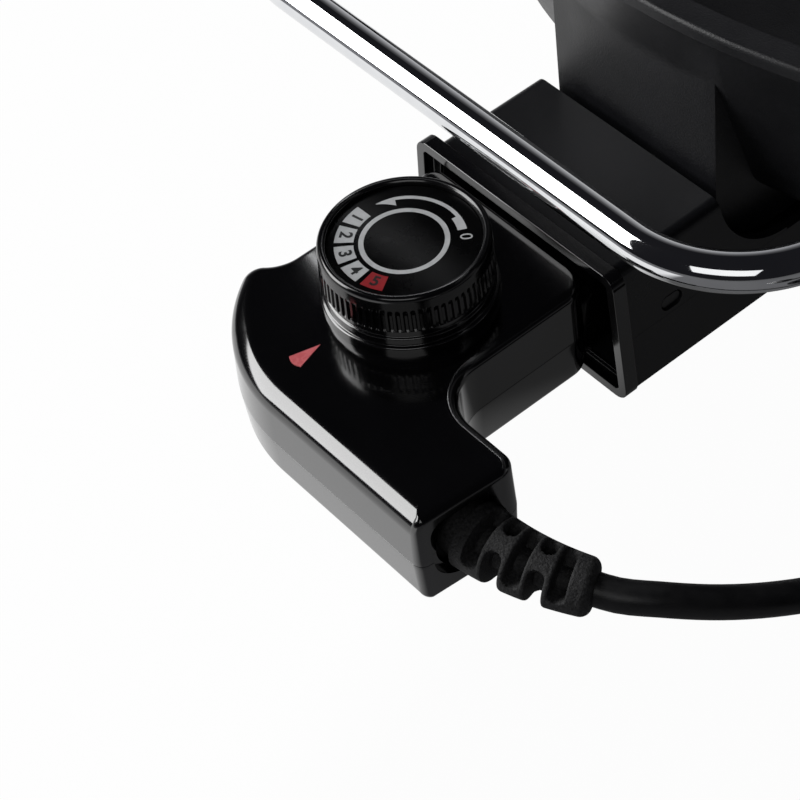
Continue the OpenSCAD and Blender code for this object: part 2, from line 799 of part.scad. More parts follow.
module foot_pad() {
    color("#2a2a2a") rotate_extrude()
        polygon([
            [0, 0], [foot_d / 2 - 2, 0], [foot_d / 2 - 1, 1], [foot_d / 2 - 1, foot_pad_h],
            [foot_pad_d / 2, foot_pad_h], [foot_pad_d / 2, foot_pad_h + foot_pad_plug_h],
            [foot_pad_d / 2 - 2, foot_pad_h + foot_pad_plug_h],
            [foot_pad_d / 2 - 2, foot_pad_h], [0, foot_pad_h]
        ]);
}

// Places the children at one foot, named by its side and end: -1 or 1 along X, -1 or 1 along Y
module at_foot(x, y) {
    reach = foot_circle_d / 2 / sqrt(2);
    translate([x * reach, pan_y + y * reach, 0]) children();
}

module foot_screws() {
    head_z = pan_rise - post_h - foot_floor - foot_screw_head_h;
    color("#a8a8a6") translate([0, pan_y, 0]) at_feet() translate([0, 0, head_z])
        screw(foot_screw_r, foot_floor + post_h + floor_t - 3, foot_screw_head_r, foot_screw_head_h);
}

// Plan of the control's housing from the dial's axis, drawn in from its sides by inset
neck_x = neck_w / 2;
arm_back_y = arm_w - front_l;
arm_turn = atan(arm_slant / (arm_w - 2 * corner_r));
sweep_c = [-sweep_x, sweep_r - front_l];
ear_r = 4.5;
ear_turn = 202;
ear_c = sweep_c + (sweep_r - ear_r) * [cos(ear_turn), sin(ear_turn)];
dimple_r = 10;
dimple_x = -neck_x - dimple_r;
dimple_c = [dimple_x, ear_c[1] + sqrt(pow(dimple_r + ear_r, 2) - pow(ear_c[0] - dimple_x, 2))];
dimple_turn = atan2(ear_c[1] - dimple_c[1], ear_c[0] - dimple_c[0]);

function housing_plan(inset) = concat(
    arc([arm_l - corner_r, corner_r - front_l], corner_r - inset, -90, -arm_turn, 5),
    arc([arm_l + arm_slant - corner_r, arm_back_y - corner_r], corner_r - inset, -arm_turn, 90, 5),
    arc([neck_x + hollow_r, arm_back_y + hollow_r], hollow_r + inset, 270, 180, 8),
    arc([neck_x - corner_r, neck_l - corner_r], corner_r - inset, 0, 90, 5),
    arc([corner_r - neck_x, neck_l - corner_r], corner_r - inset, 90, 180, 5),
    arc(dimple_c, dimple_r + inset, 0, dimple_turn, 5),
    arc_between(ear_c, ear_r - inset, dimple_turn + 180, ear_turn, 5),
    arc(sweep_c, sweep_r - inset, ear_turn, 270, 12)
);

function lift(flat, z) = [for (p = flat) [p[0], p[1], z]];

// Same, but lower by fall at the housing's front and by nothing at the end of its neck
function lift_fall(flat, z, fall) = [
    for (p = flat) [p[0], p[1], z - fall * (neck_l - p[1]) / (neck_l + front_l)]
];

// Solid half of the housing: up is 1 above the parting line and -1 below it
module housing_half(h, up, side_draft, fall) {
    straight = h - edge_r;
    lean = straight * tan(side_draft);
    levels = concat(
        [[0, 0], [straight, lean]],
        [for (a = [18:18:90]) [straight + edge_r * sin(a), lean + edge_r * (1 - cos(a))]]
    );
    rings = [for (l = levels) lift_fall(housing_plan(l[1]), split_z + up * l[0], fall * l[0] / h)];
    skin(up > 0 ? rings : [for (i = [len(rings) - 1:-1:0]) rings[i]], level = true);
}

// Hollow of one half, from the parting line to its own inner face
module housing_hollow(h, up, side_draft) {
    deep = h - shell_t;
    lean = deep * tan(side_draft);
    over = lift(housing_plan(shell_t), split_z - up);
    low = lift(housing_plan(shell_t), split_z);
    end = lift(housing_plan(shell_t + lean), split_z + up * deep);
    skin(up > 0 ? [over, low, end] : [end, low, over], level = true);
}

// Nose of the control, kept above or below the parting line
module nose_half(up) {
    intersection() {
        pull_y(neck_l - shell_t, nose_l + shell_t)
            translate([0, split_z]) round_rect(nose_w, nose_h, 2.5);
        translate([-nose_w, 0, up > 0 ? split_z : split_z - nose_h])
            cube([2 * nose_w, 2 * nose_l + neck_l, nose_h]);
    }
}

// Bores of the nose for the two contact sleeves and the probe, and the hole for the boot
module housing_bores() {
    for (side = [-1, 1])
        rod_y(side * pin_x, carrier_y1, plug_z, neck_l + nose_l, contact_r + seat_c);
    rod_y(0, carrier_y1, plug_z, neck_l + nose_l, probe_d / 2 + seat_c);
    rod_y(0, neck_l + nose_l - clip_ring_l, plug_z, 2 * clip_ring_l, clip_ring_r + seat_c);
    translate([arm_l - 2 * shell_t, boot_y, split_z]) rotate([0, 90, 0])
        cylinder(r = boot_hole_r, h = 4 * shell_t);
    translate([arm_l - shell_t / 2, boot_y, split_z]) rotate([0, 90, 0])
        cylinder(r = boot_hole_r + boot_recess_w, h = 2 * shell_t);
}

contact_r = pin_d / 2 + slide_gap + 0.7;
clip_ring_r = probe_d / 2 + 1.4;
clip_ring_l = 6;

// Outline of the pointer, tip towards the dial and base slightly bowed
module pointer_plan(grow) {
    base_y = pointer_tip_y - pointer_l;
    polygon(concat(
        [[pointer_x, pointer_tip_y + grow]],
        [for (i = [0:6]) [
            pointer_x + (pointer_w / 2 + grow) * (i / 3 - 1),
            base_y - grow - 0.7 * (1 - pow(i / 3 - 1, 2))
        ]]
    ));
}

// Stepped seat under the knob, moulded on the upper shell
module dial_seat() {
    r = knob_d / 2 + 0.1;
    rotate_extrude()
        polygon([
            [0, top_z - 1], [r + 0.9, top_z - 1], [r + 0.9, top_z + 0.5], [r + 0.3, top_z + seat_h * 0.36],
            [r - 0.4, top_z + seat_h * 0.42], [r - 0.4, top_z + seat_h * 0.68],
            [r - 1, top_z + seat_h * 0.74],
            [r - 1, top_z + seat_h], [0, top_z + seat_h]
        ]);
}

module control_upper_shell() {
    color("#0e0e10") translate([0, knob_y, 0]) difference() {
        union() {
            difference() {
                housing_half(upper_h, 1, draft, 0);
                housing_hollow(upper_h, 1, draft);
            }
            nose_half(1);
            dial_seat();
            for (p = screw_places) translate([p[0], p[1], split_z])
                cylinder(r = screw_post_r, h = upper_h - shell_t + eps);
        }
        housing_bores();
        translate([0, 0, cave_top_z - 1]) cylinder(d = shaft_d + 2 * shaft_clear, h = seat_h + upper_h);
        translate([0, 0, cave_top_z - 1]) linear_extrude(2 * shell_t + 1) pointer_plan(seat_c);
        for (p = screw_places) translate([p[0], p[1], split_z - 1])
            cylinder(r = screw_core_r + seat_c, h = screw_bite + 1.5);
    }
}

module control_lower_shell() {
    color("#0e0e10") translate([0, knob_y, 0]) difference() {
        union() {
            difference() {
                housing_half(lower_h, -1, lower_draft, floor_fall);
                housing_hollow(lower_h, -1, lower_draft);
            }
            nose_half(-1);
            for (p = screw_places) translate([p[0], p[1], bottom_z + 1])
                cylinder(r = screw_post_r + 0.6, h = split_z - bottom_z - 1);
            for (y = clamp_posts) translate([clamp_x, y, cave_floor_z - eps])
                cylinder(r = 2.6, h = clamp_z - cave_floor_z + eps);
        }
        housing_bores();
        for (p = screw_places) translate([p[0], p[1], bottom_z - floor_fall - 1]) {
            cylinder(r = screw_core_r + slide_gap, h = lower_h + floor_fall + 2);
            cylinder(r = screw_head_r + slide_gap, h = screw_sink + floor_fall + 1);
        }
    }
}

clamp_x = arm_l - shell_t - boot_flange_l - 9;
clamp_z = plug_z - 3;
clamp_t = 3;
clamp_posts = [boot_y - 7.4, boot_y + 7.4];

module cord_clamp() {
    color("#2d2d30") translate([clamp_x, knob_y + boot_y, clamp_z]) difference() {
        linear_extrude(clamp_t) round_rect(6, clamp_posts[1] - clamp_posts[0] + 5, 2.5);
        for (y = clamp_posts) translate([0, y - boot_y, -1]) cylinder(r = 1.3, h = clamp_t + 2);
        translate([-4, 0, clamp_t + cord_d / 3]) rotate([0, 90, 0]) cylinder(d = cord_d, h = 8);
    }
}

module shell_screws() {
    color("#a8a8a6") translate([0, knob_y, 0]) for (p = screw_places)
        translate([p[0], p[1], bottom_z + screw_sink - screw_head_h])
            screw(screw_core_r, split_z + screw_bite - bottom_z - screw_sink, screw_head_r, screw_head_h);
}

module pointer_lens() {
    color("#d9535a") translate([0, knob_y, 0]) {
        translate([0, 0, cave_top_z]) linear_extrude(shell_t + pointer_proud) pointer_plan(0);
        translate([pointer_x, pointer_tip_y - pointer_l * 0.6, cave_top_z - lens_flange_t])
            linear_extrude(lens_flange_t) round_rect(pointer_w + 4, pointer_l + 4, 1.5);
    }
}

module pilot_lamp() {
    color("#f0b060")
        translate([pointer_x, knob_y + pointer_tip_y - pointer_l * 0.6, cave_top_z - lens_flange_t - lamp_l])
        rotate_extrude()
            polygon(concat(
                [[0, 0], [lamp_r, 0]],
                arc([lamp_r - 0.8, lamp_l - 0.8], 0.8, 0, 90, 4),
                [[0, lamp_l]]
            ));
}

module contact_block() {
    color("#8c4a2e") translate([0, knob_y, 0]) difference() {
        translate([-block_half_w, carrier_y0, cave_floor_z])
            cube([2 * block_half_w, carrier_y1 - carrier_y0, carrier_top_z - cave_floor_z]);
        for (side = [-1, 1]) rod_y(side * pin_x, carrier_y0 - 1, plug_z, neck_l, contact_r + seat_c);
        rod_y(0, carrier_y0 - 1, plug_z, neck_l, probe_d / 2 + seat_c);
    }
}

module contact_sleeves() {
    sleeve_start = carrier_y0 - 2;
    sleeve_len = neck_l + nose_l - 1.5 - sleeve_start;
    color("#c8a24a") translate([0, knob_y, 0]) for (side = [-1, 1]) difference() {
        rod_y(side * pin_x, sleeve_start, plug_z, sleeve_len, contact_r);
        rod_y(side * pin_x, sleeve_start + 3, plug_z, sleeve_len, pin_d / 2 + slide_gap);
    }
}

module probe() {
    root_y = knob_y + carrier_y0 - 2;
    reach = nose_end_y + probe_l - root_y;
    nib = probe_d / 2;
    color("#bfc0c0") translate([0, root_y, plug_z]) rotate([-90, 0, 0]) rotate_extrude()
        polygon(concat([[0, 0], [nib, 0]], arc([0, reach - nib], nib, 0, 90, 8)));
}

module earth_clip() {
    color("#c8a24a") difference() {
        rod_y(0, nose_end_y - clip_ring_l, plug_z, clip_ring_l + 4, clip_ring_r);
        rod_y(0, nose_end_y - clip_ring_l - 1, plug_z, clip_ring_l + 6, probe_d / 2 + seat_c / 2);
    }
}

module switch_leaves() {
    color("#b87a3a") translate([0, knob_y, carrier_top_z]) {
        translate([-9, -cam_r, 0]) cube([6, carrier_y1 + cam_r - 2, leaf_t]);
        translate([-6, -2, leaf_t]) cylinder(r = 1.6, h = 0.8);
        translate([3, carrier_y0 - 6, 0]) cube([6, carrier_y1 - carrier_y0 + 4, leaf_t]);
        translate([6, carrier_y0 - 3, leaf_t]) cylinder(r = 1.6, h = 0.8);
    }
}

// Where a rib starts and ends and the groove behind it starts and ends, as shares of their pitch
rib_shares = [0, 0.62, 0.68, 0.94];

// Ribbed outline of the knob's skirt
module knurl_plan(r) {
    polygon([
        for (i = [0:knurls - 1]) for (s = [0:3])
            let (a = 360 * (i + rib_shares[s]) / knurls, rr = s < 2 ? r : r - knurl_depth)
            rr * [cos(a), sin(a)]
    ]);
}

module dial_knob() {
    rim = knob_d / 2;
    skirt = rim + skirt_grow / 2;
    band = knob_h * 0.62;
    face_r = rim - knob_lip;
    color("#101012") translate([0, knob_y, knob_z]) difference() {
        union() {
            linear_extrude(band) knurl_plan(skirt);
            rotate_extrude($fn = 96)
                polygon([
                    [0, 0], [skirt - knurl_depth, 0], [skirt - knurl_depth, band],
                    [rim, band + 0.4], [rim, knob_h - 0.8], [rim - 0.5, knob_h],
                    [face_r, knob_h], [face_r, knob_h - face_sink], [0, knob_h - face_sink]
                ]);
        }
        translate([0, 0, -1]) cylinder(d = shaft_d + 2 * seat_c, h = knob_h - face_sink - 2);
    }
}

face_sink = 2.5;
face_t = 0.9;

module dial_face() {
    color("#151518") translate([0, knob_y, knob_top_z - face_sink])
        cylinder(r = knob_d / 2 - knob_lip - seat_c, h = face_t, $fn = 96);
}

module dial_shaft() {
    color("#9c9c9c") translate([0, knob_y, 0]) {
        translate([0, 0, cam_top_z - eps])
            cylinder(d = shaft_d, h = knob_z + knob_h - face_sink - 3 - seat_c - cam_top_z + eps);
        translate([0, 0, cam_top_z - cam_t]) difference() {
            cylinder(r = cam_r, h = cam_t);
            translate([cam_r - 1.5, -cam_r, -1]) cube([cam_r, 2 * cam_r, cam_t + 2]);
        }
    }
}

// Radius of the boot at a share s of its length: flange, plain root, then ribs over a thin core
boot_stations = concat(
    [
        [0, boot_flange_r], [0.07, boot_flange_r], [0.075, boot_root_r],
        [0.2, boot_root_r], [0.205, boot_core_r]
    ],
    [for (rib = boot_ribs) each [
        [rib[0], boot_core_r], [rib[0] + 0.006, rib[2] - 0.6], [rib[0] + 0.02, rib[2]],
        [rib[1] - 0.02, rib[2] - 0.2], [rib[1] - 0.006, rib[2] - 0.8], [rib[1], boot_core_r]
    ]],
    [[1, boot_core_r - 0.6]]
);

// Point and heading of the boot's axis at a share s of its length
function boot_point(s) =
    let (p1 = boot_start + boot_pull * boot_out, p2 = boot_end - boot_pull * boot_lead, q = 1 - s)
    q * q * q * boot_start + 3 * q * q * s * p1 + 3 * q * s * s * p2 + s * s * s * boot_end;
function boot_heading(s) = unit(boot_point(min(s + 0.01, 1)) - boot_point(max(s - 0.01, 0)));

module strain_relief() {
    color("#1a1a1c") translate([0, knob_y, 0])
        skin([for (st = boot_stations) tube_ring(boot_point(st[0]), boot_heading(st[0]), st[1], boot_sides)]);
}

module cord() {
    color("#1a1a1c") translate([0, knob_y, 0]) tube(cord_route, cord_d, cord_sides);
}

// Centre line of the coil: one layer winds in, climbs in half a turn, and the next winds out
coil_in_r = coil_r - coil_turns * coil_step;
layer_rings = coil_turns * coil_rings;
climb_rings = coil_rings / 2;
function coil_at(turn, r, z) = [
    coil_centre[0] + r * cos(180 - 360 * turn),
    coil_centre[1] + r * sin(180 - 360 * turn),
    z
];
function ease(t) = t * t * (3 - 2 * t);
coil_path = concat(
    [cord_route[len(cord_route) - 1]],
    [for (i = [0:layer_rings - 1])
        coil_at(i / coil_rings, coil_r - coil_step * i / coil_rings, coil_z)],
    [for (i = [0:climb_rings - 1])
        coil_at(
            coil_turns + i / coil_rings,
            coil_in_r - climb_dip * sin(180 * i / climb_rings),
            coil_z + layer_step * ease(i / climb_rings)
        )],
    [for (i = [0:layer_rings])
        coil_at(
            0.5 + coil_turns + i / coil_rings,
            coil_in_r + coil_step * i / coil_rings,
            coil_z + layer_step
        )],
    [coil_at(0.5, coil_r, coil_z + layer_step) - [0, cord_d, 0]]
);

tail_route = [for (step = tail_steps) coil_path[len(coil_path) - 1] + step];

// Least gap of the coil to itself: points more than half a turn apart, less one diameter
coil_gap = min([
    for (i = [0:len(coil_path) - 1]) for (j = [i + climb_rings:1:len(coil_path) - 1])
        norm(coil_path[i] - coil_path[j])
]) - cord_d;
echo(least_gap_of_the_coil = coil_gap);  // cord_coil

module cord_coil() {
    color("#1a1a1c") translate([0, knob_y, 0]) tube(coil_path, cord_d, coil_sides);
}

module cord_tail() {
    color("#1a1a1c") translate([0, knob_y, 0]) tube(tail_route, cord_d, cord_sides);
}

// Flat band round all the turns, three quarters of a turn from where the lead comes in
module coil_tie() {
    in_w = (coil_turns - 1) * coil_step + cord_d + 2 * tie_room;
    in_h = layer_step + cord_d + 2 * 0.2;
    mid_r = coil_r - coil_step * (0.75 + (coil_turns - 1) / 2);
    color("#3a3a3c") translate([coil_centre[0], knob_y + coil_centre[1] - mid_r, coil_z + layer_step / 2])
        rotate([90, 0, 90]) translate([0, 0, -tie_w / 2]) linear_extrude(tie_w) difference() {
            round_rect(in_w + 2 * tie_t, in_h + 2 * tie_t, 3);
            round_rect(in_w, in_h, 2);
        }
}

// Axis of the plug: it lies on the table with its pins towards -Y
plug_from = tail_route[len(tail_route) - 1];

// Places the children with +Z along the plug's axis, from the lead to the pins
module along_plug() {
    translate([plug_from[0], knob_y + plug_from[1], plug_from[2]]) rotate([90, 0, 0]) children();
}

module plug_body() {
    r = plug_d / 2;
    neck_r = cord_d / 2 + 2.2;
    color("#1a1a1c") along_plug() difference() {
        rotate_extrude()
            polygon([
                [0, 0], [neck_r - 0.8, 0], [neck_r, 1.2], [neck_r + 1, plug_neck_l],
                [r - 4, plug_neck_l + 5], [r - 1, plug_l - plug_face_l], [r, plug_l - plug_face_l + 2],
                [r, plug_l - 1], [r - 1, plug_l], [0, plug_l]
            ]);
        for (side = [-1, 1]) {
            translate([side * prong_gap / 2, 0, plug_l - plug_face_l])
                cylinder(r = prong_root_r + seat_c, h = plug_face_l + 1);
            translate([
                -strip_w / 2 - seat_c,
                side * (r - strip_t) - (side < 0 ? 2 * strip_t : 0),
                plug_l - plug_face_l + 3
            ])
                cube([strip_w + 2 * seat_c, 2 * strip_t, plug_face_l]);
        }
    }
}

// Seated ends of the pins are thinner than their free ends, which stand on the plug's face
prong_root_r = prong_d / 2 - 0.4;
strip_w = 6;
strip_t = 2.2;

module plug_pins() {
    tip = prong_d / 4;
    seat_l = plug_face_l - seat_c;
    color("#d0d0cc") along_plug() for (side = [-1, 1])
        translate([side * prong_gap / 2, 0, plug_l - seat_l]) rotate_extrude()
            polygon([
                [0, 0], [prong_root_r, 0], [prong_root_r, seat_l], [prong_d / 2, seat_l],
                [prong_d / 2, seat_l + prong_l - tip], [prong_d / 2 - tip, seat_l + prong_l],
                [0, seat_l + prong_l]
            ]);
}

module plug_earth_strips() {
    r = plug_d / 2;
    color("#d0d0cc") along_plug() for (side = [-1, 1])
        translate([-strip_w / 2, side * (r - strip_t / 2) - 0.6, plug_l - plug_face_l + 3])
            cube([strip_w, 1.2, plug_face_l - 3.4]);
}

pan();
heating_element();
terminal_pins();
pin_insulators();
probe_sleeve();
socket_box_upper();
socket_box_lower();
socket_collar();
tray_screws();
front_handle();
rear_handle();
handle_screws();
at_foot(-1, -1) foot();  // foot_front_left
at_foot(1, -1) foot();  // foot_front_right
at_foot(-1, 1) foot();  // foot_rear_left
at_foot(1, 1) foot();  // foot_rear_right
at_foot(-1, -1) foot_pad();  // pad_front_left
at_foot(1, -1) foot_pad();  // pad_front_right
at_foot(-1, 1) foot_pad();  // pad_rear_left
at_foot(1, 1) foot_pad();  // pad_rear_right
foot_screws();
control_upper_shell();
control_lower_shell();
shell_screws();
pointer_lens();
pilot_lamp();
probe();
earth_clip();
contact_sleeves();
contact_block();
switch_leaves();
cord_clamp();
dial_knob();
dial_face();
dial_shaft();
strain_relief();
cord();
cord_coil();
cord_tail();
coil_tie();
plug_body();
plug_pins();
plug_earth_strips();
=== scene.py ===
import math
import bmesh
import bpy
import numpy as np
from mathutils import Matrix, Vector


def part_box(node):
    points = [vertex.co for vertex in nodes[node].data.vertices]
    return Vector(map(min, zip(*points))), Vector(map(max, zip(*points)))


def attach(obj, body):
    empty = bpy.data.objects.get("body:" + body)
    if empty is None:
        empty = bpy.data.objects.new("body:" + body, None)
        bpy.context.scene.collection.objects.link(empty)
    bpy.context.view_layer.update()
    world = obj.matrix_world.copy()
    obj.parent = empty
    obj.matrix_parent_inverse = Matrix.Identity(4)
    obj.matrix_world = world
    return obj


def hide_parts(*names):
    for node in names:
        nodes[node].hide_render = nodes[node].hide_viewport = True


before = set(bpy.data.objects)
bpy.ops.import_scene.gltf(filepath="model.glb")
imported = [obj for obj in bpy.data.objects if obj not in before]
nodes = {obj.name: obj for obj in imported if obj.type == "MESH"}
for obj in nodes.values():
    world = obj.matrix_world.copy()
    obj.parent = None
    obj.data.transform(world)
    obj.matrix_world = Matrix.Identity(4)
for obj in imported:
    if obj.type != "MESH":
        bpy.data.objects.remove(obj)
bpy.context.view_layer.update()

# Camera of the photo: a long lens over the lead's side of the control, looking down at the dial.
# Its place and its three angles were fitted to the knob, the housing's corners and the bar.
camera_place = (0.3477, -0.4741, 0.4784)
azimuth, elevation, roll = np.radians([-56.66, 48.30, -8.64])
ahead = np.array([
    np.sin(azimuth) * np.cos(elevation),
    np.cos(azimuth) * np.cos(elevation),
    -np.sin(elevation)])
level = np.array([np.cos(azimuth), -np.sin(azimuth), 0.0])
above = np.cross(level, ahead)
camera_right = np.cos(roll) * level + np.sin(roll) * above
camera_up = np.cos(roll) * above - np.sin(roll) * level
camera_matrix = np.eye(4)
camera_matrix[:3, :3] = np.stack([camera_right, camera_up, -ahead], axis=1)
camera_matrix[:3, 3] = camera_place
lens_data = bpy.data.cameras.new("photo_camera")
lens_data.lens = 115.3
lens_data.sensor_width = 36.0
lens_data.clip_start = 0.02
camera = bpy.data.objects.new("photo_camera", lens_data)
camera.matrix_world = Matrix(camera_matrix.tolist())
bpy.context.scene.collection.objects.link(camera)
bpy.context.scene.camera = camera
bpy.context.scene.view_settings.view_transform = "Standard"

# Table and light: a white table without an edge, with painted shade in its colour on the lead's side and
# far out, one large soft lamp low over the left front, a dim card by the camera, and a dark room with a pale
# back.
under_dial = (0.0, -0.2376, 0.0)
painted_pool_radius, painted_shade_radius = 0.33, 0.44
painted_pool_colour, painted_shade_colour = (0.86, 0.86, 0.87, 1.0), (0.10, 0.10, 0.11, 1.0)
painted_shade_slope, painted_shade_start = (3.667, 1.1, 0.0), 0.518
mirrored_glow, seen_glow = 0.85, 0.975
table_half, table_z = 6.0, -0.0002
table = bpy.data.materials.new("white_table")
table.use_nodes = True
links = table.node_tree.links


def table_node(kind, operation=None):
    """New node in the table's material, set to its operation if it has one."""
    made = table.node_tree.nodes.new(kind)
    if operation:
        made.operation = operation
    return made


cloth = table.node_tree.nodes["Principled BSDF"]
cloth.inputs["Roughness"].default_value = 0.8
cloth.inputs["Specular IOR Level"].default_value = 0.0
spot = table_node("ShaderNodeTexCoord")
apart = table_node("ShaderNodeVectorMath", "DISTANCE")
apart.inputs[1].default_value = under_dial
links.new(spot.outputs["Object"], apart.inputs[0])
# Painted shade: the table's colour turns dark beyond a radius round the dial and on the lead's side,
# standing in for the object's shadow and the unlit room.
painted_shade_ramp = table_node("ShaderNodeValToRGB")
painted_shade_ramp.color_ramp.elements[0].position = painted_pool_radius
painted_shade_ramp.color_ramp.elements[0].color = painted_pool_colour
painted_shade_ramp.color_ramp.elements[1].position = painted_shade_radius
painted_shade_ramp.color_ramp.elements[1].color = painted_shade_colour
rightward = table_node("ShaderNodeVectorMath", "DOT_PRODUCT")
rightward.inputs[1].default_value = painted_shade_slope
links.new(spot.outputs["Object"], rightward.inputs[0])
offset_right = table_node("ShaderNodeMath", "ADD")
offset_right.inputs[1].default_value = painted_shade_start
links.new(rightward.outputs["Value"], offset_right.inputs[0])
either = table_node("ShaderNodeMath", "MAXIMUM")
links.new(apart.outputs["Value"], either.inputs[0])
links.new(offset_right.outputs[0], either.inputs[1])
links.new(either.outputs[0], painted_shade_ramp.inputs[0])
links.new(painted_shade_ramp.outputs[0], cloth.inputs["Base Color"])
glow = table_node("ShaderNodeEmission")
glow.inputs["Strength"].default_value = 1.0
ray = table_node("ShaderNodeLightPath")
# The glow that glossy rays see is darkened by the same painted shade, so reflections of the table carry it.
faded = table_node("ShaderNodeMath", "MULTIPLY")
faded.inputs[1].default_value = mirrored_glow
links.new(painted_shade_ramp.outputs[0], faded.inputs[0])
mirrored = table_node("ShaderNodeMath", "MULTIPLY_ADD")
links.new(ray.outputs["Is Glossy Ray"], mirrored.inputs[0])
links.new(faded.outputs[0], mirrored.inputs[1])
links.new(ray.outputs["Is Transmission Ray"], mirrored.inputs[2])
shown = table_node("ShaderNodeMath", "MULTIPLY_ADD")
shown.use_clamp = True
links.new(ray.outputs["Is Camera Ray"], shown.inputs[0])
shown.inputs[1].default_value = seen_glow
links.new(mirrored.outputs[0], shown.inputs[2])
share = table_node("ShaderNodeMixShader")
links.new(shown.outputs[0], share.inputs[0])
links.new(cloth.outputs[0], share.inputs[1])
links.new(glow.outputs[0], share.inputs[2])
links.new(share.outputs[0], table.node_tree.nodes["Material Output"].inputs["Surface"])
corner_signs = np.array([(-1, -1), (1, -1), (1, 1), (-1, 1)])
table_corners = [(x, y, table_z) for x, y in (table_half * corner_signs).tolist()]
table_mesh = bpy.data.meshes.new("white_table")
table_mesh.from_pydata(table_corners, [], [(0, 1, 2, 3)])
table_top = bpy.data.objects.new("white_table", table_mesh)
table_mesh.materials.append(table)
bpy.context.scene.collection.objects.link(table_top)

surround = bpy.data.worlds.new("studio")
bpy.context.scene.world = surround
surround.use_nodes = True
sky = surround.node_tree
look = sky.nodes.new("ShaderNodeTexCoord")
backward = sky.nodes.new("ShaderNodeVectorMath")
backward.operation = "DOT_PRODUCT"
backward.inputs[1].default_value = (-0.3, 1.0, -0.9)
ramp = sky.nodes.new("ShaderNodeValToRGB")
sky.links.new(look.outputs["Generated"], backward.inputs[0])
sky.links.new(backward.outputs["Value"], ramp.inputs[0])
sky.links.new(ramp.outputs[0], sky.nodes["Background"].inputs["Color"])
ramp.color_ramp.elements[0].position = 0.0
ramp.color_ramp.elements[0].color = (0.010, 0.010, 0.012, 1.0)
ramp.color_ramp.elements[1].position = 0.94
ramp.color_ramp.elements[1].color = (0.62, 0.62, 0.63, 1.0)
for position, value in ((0.25, 0.083), (0.62, 0.31)):
    ramp.color_ramp.elements.new(position).color = (value, value, value * 1.04, 1.0)


def unit(vectors):
    """Each vector divided by its length."""
    return vectors / np.linalg.norm(vectors, axis=-1, keepdims=True)


def area_light(name, side, toward, target, shift, width, height, watts):
    """Rectangular lamp whose width lies along side and which shines away from toward. It stands at
    shift from its target, counted along side, square to both, and along toward."""
    matrix = np.eye(4)
    matrix[:3, :3] = np.stack([side, np.cross(toward, side), toward], axis=1)
    matrix[:3, 3] = np.asarray(target) + matrix[:3, :3] @ shift
    light = bpy.data.lights.new(name, "AREA")
    light.shape = "RECTANGLE"
    light.size = width
    light.size_y = height
    light.energy = watts
    lamp = bpy.data.objects.new(name, light)
    lamp.matrix_world = Matrix(matrix.tolist())
    bpy.context.scene.collection.objects.link(lamp)


lamp_toward = unit(np.array([-0.787, -0.379, 0.493]))
lamp_long = np.array([0.0, 0.81, 0.585])
lamp_long = unit(lamp_long - (lamp_long @ lamp_toward) * lamp_toward)
area_light("soft_lamp", lamp_long, lamp_toward, (0.0, -0.237, 0.05), (-0.15, -0.32, 1.5), 1.7, 0.86, 28.0)
card_toward = unit(np.array([0.46, -0.64, 0.615]))
card_side = unit(np.array([0.64, 0.46, 0.0]))
area_light("white_card", card_side, card_toward, (0.06, -0.2, 0.08), (0.0, 0.0, 1.4), 0.9, 0.7, 2.1)

# Mains lead: round black rubber, 8 mm thick and about 1.35 m long. It leaves the boot, sinks to the
# table, and the length that the photo doesn't show is wound in two layers and held by a tie.
MM = 0.001
dial_low, dial_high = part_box("dial_knob")
dial_axis = np.array([(dial_low[0] + dial_high[0]) / 2, (dial_low[1] + dial_high[1]) / 2, 0.0])
dial_axis_mm = 1000 * dial_axis


def from_dial(points):
    """Points in millimetres from the dial's axis on the table, as points of the frame in metres."""
    return dial_axis + MM * np.asarray(points, float)


def smooth_line(points, spacing):
    """Cubic curve through the points. The slope at a point is the difference of its neighbours over
    the length between them, and each stretch blends its two ends' places and slopes."""
    points = np.asarray(points, float)
    steps = np.linalg.norm(np.diff(points, axis=0), axis=1)
    along = np.concatenate([[0.0], np.cumsum(steps)])
    slope = np.gradient(points, along, axis=0)
    at = np.linspace(0.0, along[-1], int(math.ceil(along[-1] / spacing)) + 1)
    k = np.clip(np.searchsorted(along, at, side="right") - 1, 0, len(steps) - 1)
    gap = steps[k][:, None]
    t = ((at - along[k]) / steps[k])[:, None]
    near = (2 * t ** 3 - 3 * t ** 2 + 1) * points[k] + (t ** 3 - 2 * t ** 2 + t) * gap * slope[k]
    far = (3 * t ** 2 - 2 * t ** 3) * points[k + 1] + (t ** 3 - t ** 2) * gap * slope[k + 1]
    return near + far


def tube_grid(path, radius, sides):
    """Rings of points round a path, square to it. The radius is one number, or one for each ring,
    or one for each point."""
    heading = unit(np.gradient(path, axis=0))
    side = unit(np.cross(heading, [0.0, 0.0, 1.0]))
    over = np.cross(heading, side)
    turn = np.linspace(0.0, 2 * np.pi, sides, endpoint=False)
    ring = np.cos(turn)[:, None] * side[:, None, :] + np.sin(turn)[:, None] * over[:, None, :]
    radius = np.asarray(radius, float)
    radius = radius.reshape(radius.shape + (1,) * (3 - radius.ndim))
    return path[:, None, :] + radius * ring


